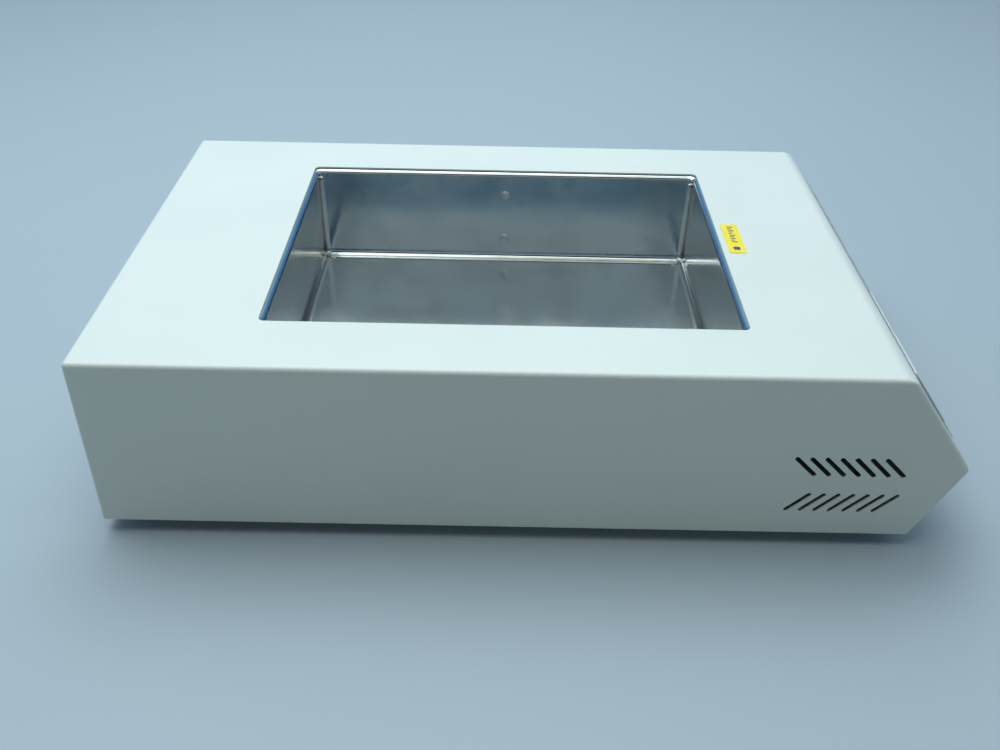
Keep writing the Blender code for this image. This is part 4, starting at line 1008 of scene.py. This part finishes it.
def inlet_block():
    """The mains inlet: flange with a bevelled rim, the plug's well with three pins, and the drawer's slot."""
    face, beyond = INLET_FRONT, INLET_FRONT + CUTTER_RISE
    made = plate("inlet_block", rounded_rectangle(0.050, 0.036, 0.004, 8), GAP, face, 0.0008)
    body = plate("inlet_back", rounded_rectangle(*INLET_BACK, 0.0008), face / 2, -0.028)
    well = [(-0.01225, 0.00825), (-0.01225, -0.00425), (-0.00825, -0.00825)]
    well = moved(well + [(-x, y) for x, y in reversed(well)], 0, WELL_HEIGHT)
    floor = face - 0.016
    mouth = [(x * 1.07, WELL_HEIGHT + (y - WELL_HEIGHT) * 1.09) for x, y in well]
    wide = [level(mouth, beyond), level(mouth, face), level(well, face - 0.0009), level(well, floor)]
    slot = moved(rounded_rectangle(0.0231, 0.0081, 0.0005), 0, DRAWER_HEIGHT)
    sinks = []
    for side in (-INLET_SCREW_SIDE, INLET_SCREW_SIDE):
        profile = ((0.0036, beyond), (0.0035, face), (0.0018, face - 0.0017), (0.0018, -SHEET))
        sinks.append([level(moved(circle(r), side, 0), z) for r, z in profile])
    combine(made, "UNION", body)
    combine(
        made,
        "DIFFERENCE",
        solid("well", wide),
        solid("slot", [level(slot, beyond), level(slot, face - 0.0223)]),
        solids("sinks", sinks),
    )
    soften(made, 0.00015, 1, 60)
    pins = []
    for x, y in ((-0.007, 0.0055), (0, 0.0095), (0.007, 0.0055)):
        tip = face - 0.0055
        sizes = ((0.0020, 0.0040, floor - 0.002), (0.0020, 0.0040, tip - 0.0008), (0.0010, 0.0026, tip))
        pins.append([level(moved(rounded_rectangle(w, h, 0.0003, 4), x, y), z) for w, h, z in sizes])
    return made, solids("inlet_pins", pins)


def drawer():
    """The fuse drawer, with a finger groove across its face."""
    outline = moved(rounded_rectangle(0.0225, 0.0075, 0.0004, 4), 0, DRAWER_HEIGHT)
    made = plate("fuse_drawer_front", outline, INLET_FRONT - 0.022, INLET_FRONT - 0.0002, 0.0003)
    groove = moved(rounded_rectangle(0.0090, 0.0022, 0.0010, 6), 0, DRAWER_HEIGHT + 0.0015)
    rings = [level(groove, INLET_FRONT + SHEET), level(groove, INLET_FRONT - 0.0018)]
    combine(made, "DIFFERENCE", solid("groove", rings))
    soften(made, 0.00012, 1, 60)
    return made


def switch_bezel():
    """The switch's bezel, with the well that the rocker tilts in, and its neck through the wall."""
    rim, corner = GAP + BEZEL_HEIGHT, 0.0020
    width, height = (side + 0.0045 for side in SWITCH_NECK)
    well = (ROCKER_SIZE[0] + 0.001, ROCKER_SIZE[1] + 0.002)
    mouth = [side + 0.0006 for side in well]
    rings = [(*well, 0.0008, rim - SWITCH_WELL), (*well, 0.0008, rim - 0.0003), (*mouth, 0.0011, rim)]
    for inset, z in reversed(rounding(0.0008, rim, 5)):
        rings.append((width - 2 * inset, height - 2 * inset, corner - inset / 2, z))
    rings += [(width, height, corner, GAP), (*SWITCH_NECK, 0.0007, GAP), (*SWITCH_NECK, 0.0007, -0.022)]
    return solid("switch_bezel", [level(rounded_rectangle(w, h, r, 6), z) for w, h, r, z in rings])


def rocker():
    """The rocker's dished face and rounded ends, drawn out across its width with softened sides."""
    half, reach = ROCKER_HALF, ROCKER_SIZE[0] / 2
    shares = [1 - i / 12 for i in range(25)]
    outline = [(half * share, ROCKER_CREST - ROCKER_DISH * (1 - share**2)) for share in shares]
    outline += [(-half + 0.0006, -0.0008), (-0.0045, -0.0040), (0.0045, -0.0040), (half - 0.0006, -0.0008)]
    made = solid("rocker_cap", [[(x, y, z) for y, z in outline] for x in (-reach, reach)])
    soften(made, 0.0004, 3, 45)
    return made


def on_rocker(outline, y, lifts):
    """Rings of an outline that lies along the rocker's dished face, at heights above the face."""
    z = ROCKER_CREST - ROCKER_DISH * (1 - (y / ROCKER_HALF) ** 2)
    tilt = 2 * ROCKER_DISH * y / ROCKER_HALF**2
    return [[(px, y + py, z + py * tilt + lift) for px, py in outline] for lift in lifts]


def rocker_marks():
    """A bar and a ring, sunk in the rocker's two ends."""
    sunk = (-0.0004, 0.00006)
    bar = on_rocker(rounded_rectangle(0.0008, 0.0042, 0.0003, 3), ROCKER_MARK, sunk)
    ring = on_rocker(circle(0.0021, 32), -ROCKER_MARK, sunk)
    made = solids("rocker_marks", [bar, ring])
    hole = on_rocker(circle(0.0014, 32), -ROCKER_MARK, (-0.0006, 0.001))
    combine(made, "DIFFERENCE", solid("ring_hole", hole))
    return made


def limiter():
    """The cut-out's body behind the wall, its neck, and a collar with a grip cut round it."""
    back, front = -SHEET - GAP, COLLAR_FRONT
    body = plate("limiter_body", rounded_rectangle(0.032, 0.032, 0.002), back, back - 0.024)
    collar = [(0.0045, back - 0.001), (0.0045, GAP), (0.0065, GAP)]
    collar += [(0.0065 - inset, z) for inset, z in rounding(0.0004, front, 4)]
    combine(body, "UNION", turned("collar", collar, steps=64))
    bore = ((0.0033, back - 0.010), (0.0033, front - 0.0004), (0.0037, front + 0.0001))
    notches = []
    for i in range(16):
        angle = 2 * math.pi * i / 16
        notch = moved(circle(0.0005, 10), 0.0068 * math.cos(angle), 0.0068 * math.sin(angle))
        notches.append([level(notch, GAP + 0.0002), level(notch, front + SHEET)])
    combine(body, "DIFFERENCE", turned("bore", bore), solids("grip", notches))
    return body


def reset_button():
    """The cut-out's button: a stem in the collar, and a domed head that clears it by the button's travel."""
    head, radius, stem = COLLAR_FRONT + 0.0012 + GAP, 0.004, 0.0028
    profile = [(stem, -0.0085), (stem, head), (radius, head), *dome(radius, 0.0008, RESET_FRONT)]
    return turned("reset_button", [*profile, (0.0002, RESET_FRONT)])


def foot(name, place, radius, top):
    """A moulded foot: ribbed round its side, rounded at the bench, and hollowed for its screw."""
    profile = [(0.0023, top), (radius - 0.0003, top), (radius, top - 0.0003)]
    for z in (top - 0.0020, top - 0.0034, top - 0.0048):
        side = radius - (top - z) / top * 0.0015
        profile += [(side, z + 0.0004), (side - 0.00035, z), (side, z - 0.0004)]
    low = radius - 0.0015
    profile += [(low - 0.0009 * (1 - math.cos(a)), 0.0009 * (1 - math.sin(a))) for a in quarter_turn(5)]
    profile += [(0.0055, 0), (0.0052, 0.0003), (0.0052, 0.0035), (0.0023, 0.0035)]
    return turned(name, profile, place, 64, closed=True)


class BATH_OT_fittings(bpy.types.Operator):
    """Build the inlet, the switch, the cut-out, the feet and the screws"""

    bl_idname = "bath.fittings"
    bl_label = "Rear and lower fittings"

    def execute(self, context):
        settings = context.scene.water_bath.fittings
        black = moulded("black_plastic_grain", settings.plastic, 0.42)
        zinc = zinc_plate()
        self.inlet(settings, black, zinc)
        self.switch(black)
        self.limiter(settings, black)
        self.feet(settings, zinc)
        return {"FINISHED"}

    def inlet(self, settings, black, zinc):
        at = REAR_FACE @ Matrix.Translation((-INLET_SIDE, 0, 0))
        block, pins = inlet_block()
        block = fit(block, black, "black_plastic", "inlet", at=at)
        fit(pins, zinc, "dull_zinc", at=at, parent=block)
        fit(drawer(), black, "black_plastic", "fuse_drawer", at=at)
        seat, edge, front = (INLET_FRONT - below for below in (0.0017, 0.0002, 0.00008))
        profile = [(0.0014, -0.007), (0.0014, seat), (0.0031, edge), (0.0026, front)]
        for i, side in ((1, INLET_SCREW_SIDE), (2, -INLET_SCREW_SIDE)):
            made = screw(f"inlet_cross_screw_{i}", profile, (side, 0), settings.recess)
            fit(made, zinc, "dull_zinc", f"inlet_screw_{i}", at=at)

    def switch(self, black):
        axis = REAR_FACE @ Matrix.Translation((-SWITCH_SIDE, 0, 0))
        fit(switch_bezel(), black, "black_plastic", "switch_body", at=axis)
        lift = Matrix.Translation((0, 0, GAP + BEZEL_HEIGHT - 0.0011))
        pivot = axis @ lift @ Matrix.Rotation(ROCKER_TILT, 4, "X")
        cap = fit(rocker(), black, "black_plastic", "power_rocker", at=pivot)
        white = moulded("white_infill", (0.75, 0.75, 0.73), 0.5)
        fit(rocker_marks(), white, "black_plastic", at=pivot, parent=cap)

    def limiter(self, settings, black):
        at = REAR_FACE @ Matrix.Translation((-LIMITER_SIDE, 0, 0))
        fit(limiter(), black, "black_plastic", "limit_thermostat", at=at)
        red = moulded("reset_plastic", settings.reset, 0.38)
        fit(reset_button(), red, "reset_red", "limit_reset", at=at)

    def feet(self, settings, zinc):
        rubber = moulded("foot_rubber", settings.rubber, 0.75, 500, 0.0001)
        for i in range(1, 5):
            node = f"foot_{i}"
            low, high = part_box(node)
            made = foot("rubber_" + node, middle_of(node), (high.x - low.x) / 2, high.z)
            fit(made, rubber, "black_rubber", node)
            for name, (shank, head) in SCREW_SIZES.items():
                node = f"{name}_{i}"
                low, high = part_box(node)
                profile = pan_head(shank, head, SCREW_HEAD_HEIGHT, low.z + SCREW_HEAD_HEIGHT, high.z)
                made = screw(node + "_cross", profile, middle_of(node), settings.recess)
                fit(made, zinc, "dull_zinc", node)


class BATH_OT_inside(bpy.types.Operator):
    """Give the parts inside the case their finishes"""

    bl_idname = "bath.inside"
    bl_label = "Parts inside"

    def execute(self, context):
        zinc = bpy.data.materials["zinc_plate"]
        board, wool = circuit_board(), glass_wool()
        numbered = [f"{name}_{i}" for name in ("flange_nut", "board_standoff") for i in range(1, 5)]
        coat(zinc, *numbered, "clamp_nut_1", "clamp_nut_2", "sensor_clamp", "temperature_probe")
        coat(board, "power_board", "display_board")
        coat(wool, "bottom_insulation", "side_insulation")
        coat(bpy.data.materials["black_plastic_grain"], "display_digits", "transformer")
        coat(moulded("relay_case", (0.05, 0.15, 0.45), 0.35), "relay")
        sheath = moulded("lead_sheath", (0.70, 0.70, 0.66), 0.55)
        coat(sheath, "terminal_block", "mains_harness", "heater_lead", "probe_lead")
        coat(moulded("milky_silicone", (0.72, 0.72, 0.70), 0.45, 300), "tank_seal")
        coat(moulded("heater_silicone", (0.65, 0.22, 0.06), 0.6, 400), "heater_mat")
        coat(drawn_copper(), "limit_bulb", "limit_capillary")
        return {"FINISHED"}


class BATH_OT_case(bpy.types.Operator):
    """Build the painted case"""

    bl_idname = "bath.case"
    bl_label = "Case"

    def execute(self, context):
        settings = context.scene.water_bath.case
        paint = powder_coat(settings.colour, settings.gloss)
        fit(case_shell(settings), paint, "ivory_powder_coat", "cover_housing")
        coat(paint, "base_pan")
        return {"FINISHED"}


class BATH_OT_tank(bpy.types.Operator):
    """Build the stainless tank with its weld marks"""

    bl_idname = "bath.tank"
    bl_label = "Tank"

    def execute(self, context):
        settings = context.scene.water_bath.tank
        steel = stainless(settings.colour, settings.roughness)
        tub = tank_shell(settings)
        marks, studs, beads = tank_welds(settings)
        combine(tub, "UNION", studs)
        tub = fit(tub, steel, "tank_stainless", "tank", degrees=50)
        weld = weld_metal(settings.colour)
        fit(marks, weld, "tank_stainless", parent=tub)
        fit(beads, weld, "tank_stainless", parent=tub)
        return {"FINISHED"}


def coat(finish, *nodes):
    """Gives CAD nodes a finish."""
    for node in nodes:
        made = frame["nodes"][node]
        for slot in made.material_slots:
            slot.material = finish


# ---------------------------------------------------------------------------- stage

class BATH_OT_stage(bpy.types.Operator):
    """Set the floor, the lights and the camera"""

    bl_idname = "bath.stage"
    bl_label = "Stage"

    def execute(self, context):
        settings = context.scene.water_bath.stage
        context.scene.view_settings.view_transform = "Standard"
        self.floor(settings)
        self.lights(settings)
        self.surroundings(context)
        self.camera(context, settings)
        return {"FINISHED"}

    def floor(self, settings):
        made = plate("floor", rounded_rectangle(FLOOR_SIDE, FLOOR_SIDE, 0.5), -0.02, 0)
        finish = Finish("floor_paper")
        grain, drift = finish.noise(700, 3), finish.noise(1.5, 2)
        tone = finish.mix(drift, scaled(settings.floor_colour, 0.96), tuple(settings.floor_colour))
        normal = finish.bump(grain, 0.0001, 0.2)
        made.data.materials.append(finish.shade(Base_Color=tone, Roughness=0.6 + 0.1 * grain, Normal=normal))

    def lights(self, settings):
        for name, place, aim, size, power, colour in (
            ("overhead", (-0.35, 0.5, 1.7), (0, 0.1, 0), (2.2, 1.2), settings.overhead, (0.84, 0.97, 1.04)),
            ("front", (0.2, -0.5, 1.6), (0, 0, 0.1), (1.6, 0.25), settings.front, (0.90, 1.0, 1.0)),
        ):
            light = bpy.data.lights.new(name, "AREA")
            light.shape = "RECTANGLE"
            light.size, light.size_y = size
            light.energy = power
            light.color = colour
            made = bpy.data.objects.new(name, light)
            bpy.context.scene.collection.objects.link(made)
            made.location = place
            made.rotation_euler = (Vector(aim) - Vector(place)).to_track_quat("-Z", "Y").to_euler()

    def surroundings(self, context):
        """What the steel mirrors: dim bands in front of the bath, blue behind. The camera sees plain grey."""
        world = bpy.data.worlds.new("surroundings")
        context.scene.world = world
        world.use_nodes = True
        sky = Finish("surroundings", world.node_tree)
        direction = sky.node("TexCoord", output="Generated")
        along, across, up = (sky.node("SeparateXYZ", {}, {"Vector": direction}, axis) for axis in "XYZ")
        shadow, cream = (0.01, 0.015, 0.02), (0.90, 0.88, 0.76)
        front = sky.ramp(
            up,
            (0.0, (0.07, 0.09, 0.09)),
            (0.12, (0.09, 0.12, 0.12)),
            (0.24, (0.16, 0.20, 0.22)),
            (0.36, (0.20, 0.26, 0.29)),
            (0.44, (0.56, 0.66, 0.70)),
            (0.54, (0.56, 0.82, 1.00)),
            (0.57, shadow),
            (0.90, shadow),
            (0.94, (0.85, 0.85, 0.76)),
        )
        turn = along.maths("ARCTAN2", across * -1.0) * (0.5 / math.pi) + 0.5
        dark = sky.band(turn, 0.325, 0.34, 0.405, 0.42)
        pale = sky.band(turn, 0.22, 0.235, 0.31, 0.325)
        ahead = sky.band(turn, 0.43, 0.45, 0.55, 0.57)
        low = sky.band(up, 0.25, 0.35, 0.58, 0.62)
        strip = sky.band(up, 0.14, 0.18, 0.40, 0.43)
        front = sky.mix(low * pale, front, cream)
        front = sky.mix(strip * ahead, front, (1.0, 0.98, 0.86))
        front = sky.mix(low * dark, front, shadow)
        back = sky.ramp(
            up,
            (0.0, (0.07, 0.30, 0.78)),
            (0.33, (0.08, 0.33, 0.76)),
            (0.45, (0.28, 0.55, 0.70)),
            (0.75, (0.70, 0.82, 0.88)),
        )
        share = sky.ramp(across * 0.5 + 0.5, (0.42, 0.0), (0.58, 1.0))
        light = sky.node("Background", {}, {"Color": sky.mix(share, front, back), "Strength": 0.8})
        plain = sky.node("Background", {}, {"Color": (0.62, 0.66, 0.68, 1), "Strength": 1.0})
        seen = sky.node("LightPath", output="Is Camera Ray")
        both = sky.node("MixShader", {}, {0: seen, 1: light, 2: plain})
        sky.node("OutputWorld", {}, {"Surface": both})

    def camera(self, context, settings):
        camera = bpy.data.cameras.new("camera")
        camera.lens = settings.lens
        camera.sensor_width = 36
        made = bpy.data.objects.new("camera", camera)
        context.scene.collection.objects.link(made)
        made.location = CAMERA_PLACE
        made.rotation_euler = [math.radians(a) for a in CAMERA_TURN]
        context.scene.camera = made


# ---------------------------------------------------------------------------- the add-on

STEPS = (BATH_OT_stage, BATH_OT_case, BATH_OT_tank, BATH_OT_controls, BATH_OT_fittings, BATH_OT_inside)
GROUPS = (
    BathCaseSettings,
    BathTankSettings,
    BathControlsSettings,
    BathFittingsSettings,
    BathStageSettings,
    WaterBathSettings,
)


class BATH_PT_panel(bpy.types.Panel):
    """Lists the steps that build the bath"""

    bl_idname = "BATH_PT_panel"
    bl_label = "Water Bath"
    bl_space_type = "VIEW_3D"
    bl_region_type = "UI"
    bl_category = "Water Bath"

    def draw(self, context):
        for step in STEPS:
            self.layout.operator(step.bl_idname)
        for group in ("case", "tank", "controls", "fittings", "stage"):
            settings = getattr(context.scene.water_bath, group)
            box = self.layout.box()
            box.label(text=group.capitalize())
            for name in settings.__annotations__:
                box.prop(settings, name)


def register():
    for group in (*GROUPS, *STEPS, BATH_PT_panel):
        bpy.utils.register_class(group)
    bpy.types.Scene.water_bath = PointerProperty(type=WaterBathSettings)


def unregister():
    del bpy.types.Scene.water_bath
    for group in reversed((*GROUPS, *STEPS, BATH_PT_panel)):
        bpy.utils.unregister_class(group)


def build_operator(step):
    """The bpy.ops call of a step."""
    group, name = step.bl_idname.split(".")
    return getattr(getattr(bpy.ops, group), name)


def main():
    register()
    for step in STEPS:
        if build_operator(step)() != {"FINISHED"}:
            raise RuntimeError(f"{step.bl_label} couldn't be built")


if __name__ == "__main__":
    main()
